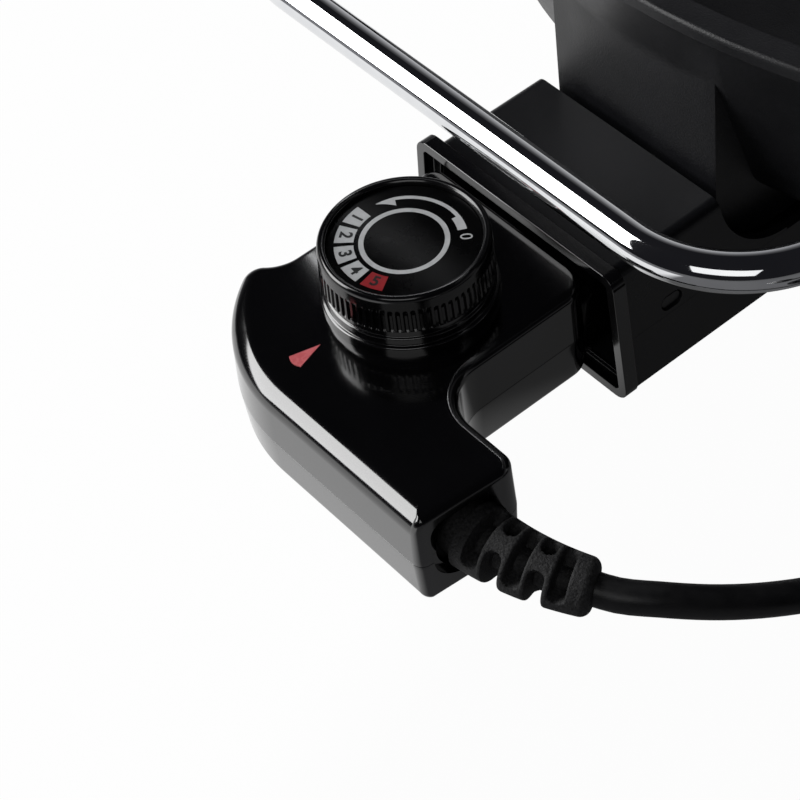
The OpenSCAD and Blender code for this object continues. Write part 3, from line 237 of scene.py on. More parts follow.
def skin_object(name, grid, looped=False, capped=True, sharp=35.0):
    """Object at the origin over a grid of points whose rows are closed rings. Each four neighbours make
    a face, the last row joins the first if looped, and otherwise one face closes each end if capped.
    Doubled points are merged, and edges that turn more than sharp degrees aren't shaded smooth."""
    rows, around = grid.shape[:2]
    index = np.arange(rows * around).reshape(rows, around)
    lower, upper = (index, np.roll(index, -1, axis=0)) if looped else (index[:-1], index[1:])
    lower_next = np.roll(lower, -1, axis=1)
    upper_next = np.roll(upper, -1, axis=1)
    faces = np.stack([lower, lower_next, upper_next, upper], axis=-1).reshape(-1, 4).tolist()
    if capped and not looped:
        faces += [index[0, ::-1].tolist(), index[-1].tolist()]
    mesh = bpy.data.meshes.new(name)
    mesh.from_pydata(grid.reshape(-1, 3).tolist(), [], faces)
    work = bmesh.new()
    work.from_mesh(mesh)
    bmesh.ops.remove_doubles(work, verts=work.verts, dist=1e-6)
    bmesh.ops.dissolve_degenerate(work, edges=work.edges, dist=1e-7)
    work.to_mesh(mesh)
    work.free()
    mesh.shade_smooth()
    mesh.set_sharp_from_angle(angle=math.radians(sharp))
    piece = bpy.data.objects.new(name, mesh)
    bpy.context.scene.collection.objects.link(piece)
    return piece


def seat(piece, finish, body, slot, *stands_for):
    """Gives a piece its finish and its body, and hides the nodes that it stands for. The slot is not used.
    """
    piece.data.materials.clear()
    piece.data.materials.append(finish)
    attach(piece, body)
    if stands_for:
        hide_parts(*stands_for)


# Two noises on the object's own coordinates that every finish shares: a fine grain for its bump, and
# broad smudges for its colour and its roughness.
handled = bpy.data.node_groups.new("handled_surface", "ShaderNodeTree")
handled.interface.new_socket("Grain Scale", in_out="INPUT", socket_type="NodeSocketFloat")
handled.interface.new_socket("Smudge Scale", in_out="INPUT", socket_type="NodeSocketFloat")
handled.interface.new_socket("Grain", in_out="OUTPUT", socket_type="NodeSocketFloat")
handled.interface.new_socket("Smudge", in_out="OUTPUT", socket_type="NodeSocketFloat")
group_in = handled.nodes.new("NodeGroupInput")
group_out = handled.nodes.new("NodeGroupOutput")
place_of = handled.nodes.new("ShaderNodeTexCoord")
tone_from, tone_to, gloss_from, gloss_to = 0.36, 0.64, 0.32, 0.68
for socket, detail, rough in (("Grain", 2.0, 0.5), ("Smudge", 5.0, 0.62)):
    noise = handled.nodes.new("ShaderNodeTexNoise")
    noise.inputs["Detail"].default_value = detail
    noise.inputs["Roughness"].default_value = rough
    handled.links.new(place_of.outputs["Object"], noise.inputs["Vector"])
    handled.links.new(group_in.outputs[socket + " Scale"], noise.inputs["Scale"])
    handled.links.new(noise.outputs[0], group_out.inputs[socket])


def finish_of(name, dark, light, rough, grain, grain_height, smudge, metallic=0.0, **sockets):
    """Finish of one material: its colour goes from dark to light and its roughness from the first to
    the second value with the smudges, and the grain stands up from it by grain_height millimetres."""
    made = bpy.data.materials.new(name)
    made.use_nodes = True
    tree = made.node_tree
    shader = tree.nodes["Principled BSDF"]
    shader.inputs["Metallic"].default_value = metallic
    for socket, value in sockets.items():
        shader.inputs[socket.replace("_", " ")].default_value = value
    worn = tree.nodes.new("ShaderNodeGroup")
    worn.node_tree = handled
    worn.inputs["Grain Scale"].default_value = grain
    worn.inputs["Smudge Scale"].default_value = smudge
    tone = tree.nodes.new("ShaderNodeValToRGB")
    tone.color_ramp.elements[0].position = tone_from
    tone.color_ramp.elements[0].color = (*dark, 1.0)
    tone.color_ramp.elements[1].position = tone_to
    tone.color_ramp.elements[1].color = (*light, 1.0)
    tree.links.new(worn.outputs["Smudge"], tone.inputs[0])
    tree.links.new(tone.outputs[0], shader.inputs["Base Color"])
    gloss = tree.nodes.new("ShaderNodeMapRange")
    gloss.inputs["From Min"].default_value = gloss_from
    gloss.inputs["From Max"].default_value = gloss_to
    gloss.inputs["To Min"].default_value = rough[0]
    gloss.inputs["To Max"].default_value = rough[1]
    tree.links.new(worn.outputs["Smudge"], gloss.inputs["Value"])
    tree.links.new(gloss.outputs[0], shader.inputs["Roughness"])
    bump = tree.nodes.new("ShaderNodeBump")
    bump.inputs["Strength"].default_value = 1.0
    bump.inputs["Distance"].default_value = grain_height * MM
    tree.links.new(worn.outputs["Grain"], bump.inputs["Height"])
    tree.links.new(bump.outputs[0], shader.inputs["Normal"])
    return made


lead_rubber = finish_of("lead_rubber", (0.006, 0.006, 0.007), (0.011, 0.011, 0.012), (0.34, 0.5),
                        grain=2400.0, grain_height=0.03, smudge=120.0)
lead_d, lead_spacing, lead_sides = 8.0, 3.0, 20
lead_route = np.array([
    (83.6, -20.4, 26.65), (88.0, -18, 26.2), (95.5, -10.5, 24.5), (102.5, 0.5, 20), (108.5, 13, 15.5),
    (112.5, 24.5, 11.8), (114.8, 37, 8.3), (115.5, 50, 6), (115.5, 60, 5.5)])
coil_middle = np.array([167.5, 68.0, 0.0])
coil_r, coil_step, coil_turns, turn_points = 52.0, 8.7, 2, 24
coil_in_r = coil_r - coil_turns * coil_step
coil_floor, layer_step, climb_in = 5.5, 8.6, 2.0
tail_start = np.array([219.5, 60.0, 14.1])
tail_rise = np.array([0.0, 0.2, 1.0, 2.3, 3.5, 4.2, 4.4])
tail_back = -7.0 * np.arange(len(tail_rise))


def coil_points(turn, radius, height):
    """Points of the coil: clockwise from its left side, at a radius and a height of their own."""
    angle = np.pi - 2 * np.pi * turn
    flat = np.stack([radius * np.cos(angle), radius * np.sin(angle), height + 0 * angle], axis=-1)
    return coil_middle + flat


layer = np.arange(0, coil_turns, 1 / turn_points)
climb = np.arange(0, 0.5, 1 / turn_points)
eased_climb = (2 * climb) ** 2 * (3 - 4 * climb)
climb_r = coil_in_r - climb_in * np.sin(2 * np.pi * climb)
lead_points = np.concatenate([
    lead_route,
    coil_points(layer, coil_r - coil_step * layer, coil_floor),
    coil_points(coil_turns + climb, climb_r, coil_floor + layer_step * eased_climb),
    coil_points(0.5 + coil_turns + layer, coil_in_r + coil_step * layer, coil_floor + layer_step),
    coil_points(np.array([0.5]), coil_r, coil_floor + layer_step),
    tail_start + np.column_stack([0 * tail_rise, tail_back, tail_rise])])
lead_line = smooth_line(from_dial(lead_points), lead_spacing * MM)
lead = skin_object("mains_lead", tube_grid(lead_line, lead_d / 2 * MM, lead_sides))
seat(lead, lead_rubber, "control", "lead_rubber", "cord", "cord_coil", "cord_tail")

# Coil tie: a flat strip of soft black rubber, bent round all the turns of the coil and closed on
# itself, with rounded edges.
tie_rubber = finish_of("tie_rubber", (0.030, 0.030, 0.032), (0.045, 0.045, 0.048), (0.5, 0.66),
                       grain=1800.0, grain_height=0.05, smudge=90.0)


def eased(corners, cut, steps=5, closed=True):
    """Outline with rounded corners: each corner becomes a quadratic curve that starts and ends cut
    before and after it. The ends of an open outline stay as they are."""
    corners = np.asarray(corners, float)
    cut = np.broadcast_to(np.asarray(cut, float), len(corners)).copy()
    if not closed:
        cut[[0, -1]] = 0.0
    before = np.roll(corners, 1, axis=0) - corners
    after = np.roll(corners, -1, axis=0) - corners
    share_before = np.minimum(cut / np.linalg.norm(before, axis=1), 0.49)[:, None]
    share_after = np.minimum(cut / np.linalg.norm(after, axis=1), 0.49)[:, None]
    first = (corners + share_before * before)[:, None]
    last = (corners + share_after * after)[:, None]
    t = np.linspace(0.0, 1.0, steps + 1)[None, :, None]
    curve = (1 - t) ** 2 * first + 2 * t * (1 - t) * corners[:, None] + t ** 2 * last
    return curve.reshape(-1, corners.shape[1])


tie_w, tie_t, tie_bend, tie_edge_cut = 10.0, 1.2, 4.0, 0.5
tie_room = np.array([1.6, 0.4])
tie_turns_in = 1.25
tie_half = (np.array([coil_step, layer_step]) + lead_d + tie_room) / 2 + tie_t / 2
tie_loop = eased(tie_half * corner_signs, tie_bend, 8)
tie_run = np.roll(tie_loop, -1, axis=0) - np.roll(tie_loop, 1, axis=0)
tie_out = unit(np.stack([tie_run[:, 1], -tie_run[:, 0]], axis=1) + 1e-12)
tie_edge = eased(np.array([tie_t, tie_w]) / 2 * corner_signs, tie_edge_cut, 3)
tie_at = coil_middle + np.array([0.0, -(coil_r - coil_step * tie_turns_in), coil_floor + layer_step / 2])
tie_flat = tie_loop[:, None, :] + tie_edge[None, :, :1] * tie_out[:, None, :]
tie_across = np.broadcast_to(tie_edge[None, :, 1:], (*tie_flat.shape[:2], 1))
tie_grid = np.concatenate([tie_across, tie_flat], axis=-1)
coil_tie = skin_object("coil_tie_band", from_dial(tie_at + tie_grid), looped=True)
seat(coil_tie, tie_rubber, "control", "tie_rubber", "coil_tie")

# Plug: a moulded black two-pin plug with a waist for the fingers, plated pins and earth strips. It
# lies on the table at the lead's end, and its own solids carry the finish.
plug_rubber = finish_of("plug_moulding", (0.012, 0.012, 0.013), (0.020, 0.020, 0.021), (0.34, 0.5),
                        grain=1500.0, grain_height=0.04, smudge=60.0)
plated_steel = finish_of("plated_steel", (0.52, 0.52, 0.50), (0.66, 0.66, 0.64), (0.2, 0.36), metallic=1.0,
                         grain=2600.0, grain_height=0.004, smudge=150.0)


def dress(node, finish):
    """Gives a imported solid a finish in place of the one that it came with."""
    nodes[node].data.materials.clear()
    nodes[node].data.materials.append(finish)


def eased_copy(node, name, width):
    """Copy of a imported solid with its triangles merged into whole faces, its edges of over 28 degrees
    rounded by width millimetres, and its shading weighted to the large faces."""
    sharp = math.radians(28.0)
    mesh = nodes[node].data.copy()
    mesh.name = name
    work = bmesh.new()
    work.from_mesh(mesh)
    bmesh.ops.remove_doubles(work, verts=work.verts, dist=2e-6)
    bmesh.ops.dissolve_limit(work, angle_limit=math.radians(1.0), verts=work.verts, edges=work.edges)
    work.to_mesh(mesh)
    work.free()
    if mesh.attributes.get("custom_normal"):
        mesh.attributes.remove(mesh.attributes["custom_normal"])
    mesh.shade_smooth()
    mesh.set_sharp_from_angle(angle=sharp)
    piece = bpy.data.objects.new(name, mesh)
    bpy.context.scene.collection.objects.link(piece)
    edge = piece.modifiers.new("eased_edges", "BEVEL")
    edge.width = width * MM
    edge.segments = 3
    edge.limit_method = "ANGLE"
    edge.angle_limit = sharp
    edge.use_clamp_overlap = True
    level_shading = piece.modifiers.new("level_shading", "WEIGHTED_NORMAL")
    level_shading.keep_sharp = False
    return piece


plug_body = eased_copy("plug_body", "plug_moulding", 0.6)
seat(plug_body, plug_rubber, "control", "lead_rubber", "plug_body")
for name in ("plug_pins", "plug_earth_strips"):
    dress(name, plated_steel)

# Strain relief: a tapered boot of soft black rubber that is held in the arm's end wall by a flange.
# Slots cut it in turn from above and below and from its two sides, so that it bends like a spring.
boot_rubber = finish_of("boot_rubber", (0.013, 0.013, 0.0135), (0.044, 0.044, 0.045), (0.58, 0.7),
                        grain=1900.0, grain_height=0.22, smudge=1300.0, Specular_IOR_Level=0.3)
boot_ends = np.array([(48.0, -30.65, 29.5), (84.6, -19.9, 26.6)])
boot_pull = 14.0 * np.stack([(1.0, 0.0, 0.0), unit(np.array([4.0, 2.5, -0.5]))])
wall_l, flange_l, flange_r = 6.5, 3.0, 9.7
root_r, tip_r, tip_l = 8.7, 6.8, 2.4
groove_deep, groove_end, groove_ramp = 1.5, 1.5, 0.5
slot_half, slot_r, slot_deep, slot_ramp = 1.65, 8.0, 4.2, 0.5
lip_w, lip_drop, lip_from = 0.9, 0.35, -0.3
slot_places = (6.2, 10.9, 15.7, 20.4, 25.3)
odd_slots, even_slots = ((-72.0, 66.0), (108.0, 66.0)), ((18.0, 70.0), (-115.0, 24.0))
boot_sides = 112
t = np.linspace(0.0, 1.0, 400)[:, None]
boot_curve = ((1 - t) ** 3 * boot_ends[0] + 3 * (1 - t) ** 2 * t * (boot_ends[0] + boot_pull[0])
              + 3 * (1 - t) * t ** 2 * (boot_ends[1] - boot_pull[1]) + t ** 3 * boot_ends[1])
boot_along = np.concatenate([[0.0], np.cumsum(np.linalg.norm(np.diff(boot_curve, axis=0), axis=1))])
boot_l = boot_along[-1]
stations = np.concatenate([np.linspace(0.0, wall_l, 20)[:-1], np.linspace(wall_l, boot_l, 190)])
boot_line = np.stack([np.interp(stations, boot_along, boot_curve[:, k]) for k in range(3)], axis=1)
boot_turn = np.linspace(0.0, 2 * np.pi, boot_sides, endpoint=False)
out = stations - wall_l
end_out = boot_l - wall_l
boot_r = np.interp(out, [0.0, end_out], [root_r, tip_r])
boot_r -= groove_deep * np.clip((groove_end - out) / groove_ramp, 0.0, 1.0)
boot_r = np.where(stations < flange_l, flange_r, boot_r)
tip = np.clip((out - end_out + tip_l) / tip_l, 0.0, 1.0)
boot_r = boot_r - tip_l * (1 - np.sqrt(1 - tip ** 2))
slot_depth = np.zeros((len(stations), boot_sides))
for number, slot_at in enumerate(slot_places, start=1):
    for middle, half in odd_slots if number % 2 else even_slots:
        off = np.abs((boot_turn - np.radians(middle) + np.pi) % (2 * np.pi) - np.pi)
        across = np.maximum(off - np.radians(half) + slot_half / slot_r, 0.0) * slot_r
        edge = np.hypot(across[None, :], (out - slot_at)[:, None]) - slot_half
        inside = np.clip(0.5 - edge / slot_ramp, 0.0, 1.0)
        lip = lip_drop * np.clip(1 - edge / lip_w, 0.0, 1.0) ** 2 * (edge > lip_from)
        slot_depth = np.maximum(slot_depth, slot_deep * inside ** 2 * (3 - 2 * inside) + lip)
boot_grid = tube_grid(from_dial(boot_line), MM * (boot_r[:, None] - slot_depth), boot_sides)
boot = skin_object("strain_relief_boot", boot_grid)
seat(boot, boot_rubber, "control", "boot_rubber", "strain_relief")

# Pan: cast aluminium with a dark non-stick coat, turned round with a flat rim and a leaning wall,
# and with a flat pad behind the socket, bosses for the handles and a rib over the heating loop.
pan_coat = finish_of("coated_aluminium", (0.006, 0.0062, 0.0078), (0.011, 0.0112, 0.0136), (0.36, 0.5),
                     grain=2600.0, grain_height=0.07, smudge=30.0)
seat(eased_copy("pan", "coated_pan", 0.7), pan_coat, "skillet", "coated_aluminium", "pan")

# Heating loop, its terminal pins and beads, and the sleeve of the heat probe: a steel sheath pressed
# into the rib, nickelled pins in white ceramic beads, and a steel tube in the pad block.
sheath_steel = finish_of("sheath_steel", (0.20, 0.18, 0.16), (0.30, 0.28, 0.25), (0.34, 0.5), metallic=1.0,
                         grain=1200.0, grain_height=0.02, smudge=70.0)
white_ceramic = finish_of("white_ceramic", (0.72, 0.69, 0.62), (0.80, 0.78, 0.72), (0.34, 0.5),
                          grain=1600.0, grain_height=0.03, smudge=110.0)
for name, finish in (("heating_element", sheath_steel), ("terminal_pins", plated_steel),
                     ("pin_insulators", white_ceramic), ("probe_sleeve", plated_steel),
                     ("tray_screws", plated_steel)):
    dress(name, finish)

# Handles: a chromed steel bar on each side of the pan, bent at two corners, its ends set into the
# pan's bosses and held there by grub screws from below.
chrome = finish_of("chromed_bar", (0.80, 0.81, 0.83), (0.88, 0.89, 0.90), (0.03, 0.06), metallic=1.0,
                   grain=700.0, grain_height=0.0004, smudge=60.0)
pan_middle_y = 28.7
bar_d, bar_z, bar_reach, bar_half, bend_r, bar_end = 9.2, 90.0, 248.6, 91.0, 32.0, 178.1
bar_sides = 64


def bar_path(sense):
    """Centre line of a bar: straight along the pan, a quarter turn at each corner, straight into its boss.
    A sense of 1 is the front bar, and -1 turns it half round to the rear."""
    bend = np.radians(np.linspace(0.0, 90.0, 40))
    bend_x = bar_half - bend_r + bend_r * np.sin(bend)
    bend_y = -bar_reach + bend_r - bend_r * np.cos(bend)
    leg_y = np.linspace(-bar_reach + bend_r, -bar_end, 12)[1:]
    leg_x = np.full(len(leg_y), bar_half)
    right_half = np.column_stack([np.concatenate([bend_x, leg_x]), np.concatenate([bend_y, leg_y])])
    flat = sense * np.concatenate([right_half[::-1] * (-1, 1), right_half])
    return MM * np.column_stack([flat[:, 0], flat[:, 1] + pan_middle_y, np.full(len(flat), bar_z)])


for name, sense in (("front_handle", 1), ("rear_handle", -1)):
    bar = skin_object(name + "_bar", tube_grid(bar_path(sense), bar_d / 2 * MM, bar_sides))
    seat(bar, chrome, "skillet", "chromed_bar", name)
dress("handle_screws", sheath_steel)

# Feet: four turned feet of black heat-proof plastic under the pan's posts, each with a rubber pad
# pressed in below and one screw up its middle.
foot_plastic = finish_of("foot_plastic", (0.012, 0.012, 0.013), (0.018, 0.018, 0.019), (0.26, 0.4),
                         grain=1100.0, grain_height=0.03, smudge=50.0)
foot_rubber = finish_of("foot_rubber", (0.028, 0.028, 0.028), (0.042, 0.042, 0.041), (0.6, 0.78),
                        grain=1900.0, grain_height=0.06, smudge=80.0)
foot_circle_r, foot_sides = 140.0, 72
foot_reach = foot_circle_r / math.sqrt(2.0)


def turned(profile, middle, sides):
    """Profile of radius and height turned about an upright axis through middle, in millimetres."""
    profile = np.asarray(profile, float)
    turn = np.linspace(0.0, 2 * np.pi, sides, endpoint=False)
    radius, height = profile[:, :1], profile[:, 1:]
    rings = np.stack([radius * np.cos(turn), radius * np.sin(turn), height + 0 * turn], axis=-1)
    return MM * (np.asarray(middle, float) + rings)


foot_outline = eased(
    [(0, 3.0), (13.0, 3.0), (14.0, 4.0), (14.0, 9.5), (11.0, 26.0), (11.0, 29.0), (0, 29.0)],
    [0, 0.5, 0.5, 2.5, 2.5, 0.4, 0], closed=False)
pad_outline = eased(
    [(0, 0), (12.0, 0), (13.0, 1.0), (13.0, 3.0), (0, 3.0)],
    [0, 0.6, 0.6, 0.3, 0], closed=False)
for side, x in (("left", -foot_reach), ("right", foot_reach)):
    for end, y in (("front", -foot_reach), ("rear", foot_reach)):
        middle = (x, pan_middle_y + y, 0.0)
        foot = skin_object(f"{end}_{side}_foot", turned(foot_outline, middle, foot_sides), capped=False)
        seat(foot, foot_plastic, "skillet", "satin_black_plastic", f"foot_{end}_{side}")
        pad = skin_object(f"{end}_{side}_foot_pad", turned(pad_outline, middle, foot_sides), capped=False)
        seat(pad, foot_rubber, "skillet", "foot_rubber", f"pad_{end}_{side}")
dress("foot_screws", plated_steel)

# Socket box and collar: two half shells of black plastic, clipped together at the sides and screwed
# up to the pan's block, and a thin glossy frame round the mouth that takes the control's nose.
box_plastic = finish_of("satin_black_plastic", (0.0055, 0.0057, 0.0072), (0.0095, 0.0097, 0.0118),
                        (0.27, 0.38), grain=1300.0, grain_height=0.02, smudge=35.0)
collar_plastic = finish_of("collar_plastic", (0.003, 0.003, 0.0036), (0.005, 0.005, 0.006), (0.12, 0.18),
                           grain=900.0, grain_height=0.004, smudge=45.0, Specular_IOR_Level=0.9)
for node, name in (("socket_box_upper", "socket_box_top"), ("socket_box_lower", "socket_box_tray")):
    seat(eased_copy(node, name, 0.45), box_plastic, "skillet", "satin_black_plastic", node)
socket_frame = eased_copy("socket_collar", "socket_frame", 0.6)
seat(socket_frame, collar_plastic, "skillet", "gloss_black_plastic", "socket_collar")

# Control housing: two glossy black half shells of hard plastic, screwed together from below. The wide
# neck carries the dial, the cross arm takes the lead, and a fine groove runs along the joint.
gloss_plastic = finish_of("gloss_black_plastic", (0.0010, 0.0010, 0.0012), (0.0017, 0.0017, 0.002),
                          (0.10, 0.14), grain=600.0, grain_height=0.001, smudge=28.0,
                          Specular_IOR_Level=1.0, Coat_Weight=0.5, Coat_Roughness=0.09)
split_z, plug_z, upper_h, lower_h, shell_t = 29.5, 28.5, 15.0, 13.0, 2.5
upper_draft, lower_draft, upper_edge_r, lower_edge_r = 2.4, 3.4, 5.0, 3.0
front_c, front_r, left_r, arc_turn, ear_turn = np.array([3.0, -2.0]), 44.0, 40.0, 238.0, 211.5
ear_r, dimple_r, dimple_x = 5.5, 10.0, -39.0


def flat_heading(degrees):
    """Level direction at an angle: its cosine along X and its sine along Y."""
    return np.array([math.cos(math.radians(degrees)), math.sin(math.radians(degrees))])


left_c = front_c + (front_r - left_r) * flat_heading(arc_turn)
ear_c = left_c + (left_r - ear_r) * flat_heading(ear_turn)
dimple_rise = math.sqrt((ear_r + dimple_r) ** 2 - (ear_c[0] - dimple_x) ** 2)
dimple_c = np.array([dimple_x, ear_c[1] + dimple_rise])
dimple_turn = math.degrees(math.atan2(ear_c[1] - dimple_c[1], ear_c[0] - dimple_c[0]))
# Each corner of the plan: middle, radius, how the radius goes with the inset, first and last angle,
# number of points, and the share of the edge's full rounding at its start and end
plan_corners = [
    (52.9, -42.8, 3.0, -1, -89.77, -4.8, 14, 1.0, 0.4),
    (52.7, -21.3, 5.0, -1, -4.8, 90.0, 14, 0.4, 0.5),
    (41.0, -4.3, 12.0, 1, 270.0, 180.0, 22, 0.5, 0.5),
    (21.0, 24.3, 8.0, -1, 0.0, 90.0, 18, 0.5, 0.3),
    (-24.5, 27.8, 4.5, -1, 90.0, 180.0, 14, 0.3, 0.35),
    (*dimple_c, dimple_r, 1, 0.0, dimple_turn, 14, 0.35, 0.4),
    (*ear_c, ear_r, -1, dimple_turn + 180.0, ear_turn, 14, 0.4, 0.7),
    (*left_c, left_r, -1, ear_turn, arc_turn, 20, 0.7, 1.0),
    (*front_c, front_r, -1, arc_turn, 270.23, 26, 1.0, 1.0)]
plan_rows = np.repeat(np.array(plan_corners), [corner[6] for corner in plan_corners], axis=0)
plan_middle, plan_radius, plan_sense = plan_rows[:, :2], plan_rows[:, 2], plan_rows[:, 3]
plan_angle = np.radians(np.concatenate([np.linspace(c[4], c[5], c[6]) for c in plan_corners]))
plan_share = np.concatenate([np.linspace(c[7], c[8], c[6]) for c in plan_corners])
plan_first, plan_last = np.radians(plan_rows[:, 4]), np.radians(plan_rows[:, 5])
plan_inward = -np.column_stack([
    np.cos(plan_first) + np.cos(plan_last),
    np.sin(plan_first) + np.sin(plan_last)])
plan_inward /= (1 + np.cos(plan_last - plan_first))[:, None]


def housing_rings(levels, up):
    """Rings of the housing's plan. A level is how far the plan is drawn in and how far it lies from
    the joint, and what the edge's rounding adds to the one and takes from the other. Each corner's
    radius shrinks or grows by the inset, and where it would fall under 0.3 the corner slips inwards."""
    drawn_in, rise, edge_in, edge_drop = np.asarray(levels, float).T[:, :, None]
    wanted = plan_radius + plan_sense * (drawn_in + edge_in * plan_share)
    radius = np.maximum(wanted, 0.3)
    slip = radius - wanted
    x = plan_middle[:, 0] + slip * plan_inward[:, 0] + radius * np.cos(plan_angle)
    y = plan_middle[:, 1] + slip * plan_inward[:, 1] + radius * np.sin(plan_angle)
    rings = np.stack([x, y, split_z + up * (rise - edge_drop * plan_share)], axis=-1)
    return from_dial(rings if up > 0 else rings[:, ::-1])


def shell_levels(height, draft, edge_r):
    """Levels of one half shell: down its inner wall, out along the joint with a hair of a gap, up its
    leaning outer wall, round the edge on a quarter circle and in over the flat."""
    lean = math.tan(math.radians(draft))
    deep, straight = height - shell_t, height - edge_r
    turn = np.radians(np.linspace(0.0, 90.0, 13))
    edge = np.column_stack([
        straight * lean + 0 * turn, height + 0 * turn,
        edge_r * (1 - np.cos(turn)), edge_r * (1 - np.sin(turn))])
    wall = [
        (shell_t + deep * lean, deep, 0, 0), (shell_t, 0.04, 0, 0), (0.12, 0.04, 0, 0),
        (0.03, 0.09, 0, 0), (0.02, 0.2, 0, 0), (0.08, 1.4, 0, 0)]
    return np.concatenate([wall, edge, [(straight * lean + 0.5, height, edge_r, 0)]])


def pipe(start, heading, radius, length, sides=64):
    """Closed round bar from a point along one of the frame's axes, for boring."""
    along = np.asarray(heading, float)
    path = from_dial(np.asarray(start, float) + np.array([[0.0], [length]]) * along)
    side = np.cross(along, [0.0, 0.0, 1.0]) if abs(along[2]) < 0.5 else np.array([1.0, 0.0, 0.0])
    turn = np.linspace(0.0, 2 * np.pi, sides, endpoint=False)[:, None]
    ring = np.cos(turn) * side + np.sin(turn) * np.cross(along, side)
    return skin_object("bore", path[:, None, :] + MM * radius * ring)


def bored(piece, cutters):
    """Cuts the cutters out of a piece and keeps the result as its mesh."""
    for cutter in cutters:
        cut = piece.modifiers.new("bore", "BOOLEAN")
        cut.operation = "DIFFERENCE"
        cut.solver = "EXACT"
        cut.object = cutter
    bpy.context.view_layer.update()
    cut_piece = piece.evaluated_get(bpy.context.evaluated_depsgraph_get())
    made = bpy.data.meshes.new_from_object(cut_piece)
    piece.modifiers.clear()
    piece.data = made
    made.shade_smooth()
    made.set_sharp_from_angle(angle=math.radians(35.0))
    for cutter in cutters:
        bpy.data.objects.remove(cutter)
    shading = piece.modifiers.new("level_shading", "WEIGHTED_NORMAL")
    shading.keep_sharp = True


boot_hole_r, boot_hole_from, boot_hole_l = 9.2, 46.0, 12.0
recess_y, recess_r, recess_ends = -33.0, 9.0, (54.0, 62.0)
recess_corner_r, recess_corner_z = 4.0, 37.2


def boot_bores():
    """The boot's hole through the end wall, and a shallow recess round it: half a circle below, straight
    sides, and a quarter circle at each upper corner."""
    floor = np.radians(np.linspace(180.0, 360.0, 41))
    corner = np.radians(np.linspace(0.0, 90.0, 9))
    corner_out = recess_r - recess_corner_r
    corner_far, corner_near = recess_corner_r * np.cos(corner), recess_corner_r * np.sin(corner)
    recess = np.concatenate([
        np.column_stack([recess_y + recess_r * np.cos(floor), split_z + recess_r * np.sin(floor)]),
        np.column_stack([recess_y + corner_out + corner_far, recess_corner_z + corner_near]),
        np.column_stack([recess_y - corner_out - corner_near, recess_corner_z + corner_far])])
    ends = from_dial([np.column_stack([np.full(len(recess), x), recess]) for x in recess_ends])
    hole = pipe((boot_hole_from, boot_ends[0][1], split_z), (1, 0, 0), boot_hole_r, boot_hole_l, 96)
    return [hole, skin_object("bore", ends)]


pointer_tip, pointer_l, pointer_w = np.array([-1.5, -26.3]), 7.6, 4.4
pointer_room, pointer_bow, pointer_cut_ends = 0.1, 0.7, (38.0, 50.0)
base = np.linspace(-1.0, 1.0, 13)
base_x = pointer_tip[0] + (pointer_w / 2 + pointer_room) * base
base_y = pointer_tip[1] - pointer_l - pointer_room - pointer_bow * (1 - base ** 2)
pointer_plan = np.concatenate([[pointer_tip + (0, pointer_room)], np.column_stack([base_x, base_y])])
pointer_cut = skin_object("bore", from_dial(np.stack([
    np.column_stack([pointer_plan, np.full(len(pointer_plan), z)]) for z in pointer_cut_ends])))
upper_levels = shell_levels(upper_h, upper_draft, upper_edge_r)
upper_shell = skin_object("control_top_shell", housing_rings(upper_levels, 1))
bored(upper_shell, boot_bores() + [pointer_cut])
seat(upper_shell, gloss_plastic, "control", "gloss_black_plastic", "control_upper_shell")
lower_levels = shell_levels(lower_h, lower_draft, lower_edge_r)
lower_shell = skin_object("control_bottom_shell", housing_rings(lower_levels, -1))
screw_places = [(22.5, 20.6), (-22.5, 20.6), (-20.0, -27.8), (30.0, -37.8)]
bottom_z = split_z - lower_h
well_r, well_deep, screw_r, post_r, post_start, post_cut, post_sides = 3.3, 5.0, 1.7, 4.0, 1.6, 0.15, 40
wells = [pipe((x, y, bottom_z - 1), (0, 0, 1), well_r, well_deep + 1, 48) for x, y in screw_places]
bored(lower_shell, boot_bores() + wells)
seat(lower_shell, gloss_plastic, "control", "gloss_black_plastic", "control_lower_shell")
post_outline = eased([
    (well_r, bottom_z + post_start), (well_r, bottom_z + well_deep), (screw_r, bottom_z + well_deep),
    (screw_r, split_z), (post_r, split_z), (post_r, bottom_z + post_start)], post_cut, 2)
for number, (x, y) in enumerate(screw_places, start=1):
    post_grid = turned(post_outline[::-1], dial_axis_mm + (x, y, 0), post_sides)
    post = skin_object(f"screw_post_{number}", post_grid, looped=True)
    seat(post, gloss_plastic, "control", "gloss_black_plastic", "control_lower_shell")

# Nose of the control: the front of both shells that enters the socket, with two bores for the
# terminal pins and one for the heat probe, and rounded edges.
nose_w, nose_h, nose_start, nose_end, nose_edge_r = 54.0, 22.0, 28.2, 50.6, 1.2
half_gap, joint_cut, corner_cut, bore_lap, bore_l = 0.1, 0.3, 3.4, 2.0, 30.0
pin_x, pin_bore_r, probe_bore_r, clip_bore_r, clip_l = 14.0, 3.6, 3.1, 4.5, 6.0
nose_bores = ((-pin_x, pin_bore_r), (pin_x, pin_bore_r), (0.0, probe_bore_r))
lead_in = np.radians(np.linspace(0.0, 90.0, 7))
nose_along = np.concatenate([[nose_start], nose_end - nose_edge_r + nose_edge_r * np.sin(lead_in)])
nose_inset = np.concatenate([[0.0], nose_edge_r * (1 - np.cos(lead_in))])
nose_section = eased(
    [(-nose_w / 2, half_gap), (nose_w / 2, half_gap), (nose_w / 2, nose_h / 2), (-nose_w / 2, nose_h / 2)],
    [joint_cut, joint_cut, corner_cut, corner_cut], 8)
nose_x = nose_section[None, :, 0] * (1 - nose_inset[:, None] / (nose_w / 2))
nose_z = nose_section[None, :, 1] * (1 - nose_inset[:, None] / (nose_h / 2))
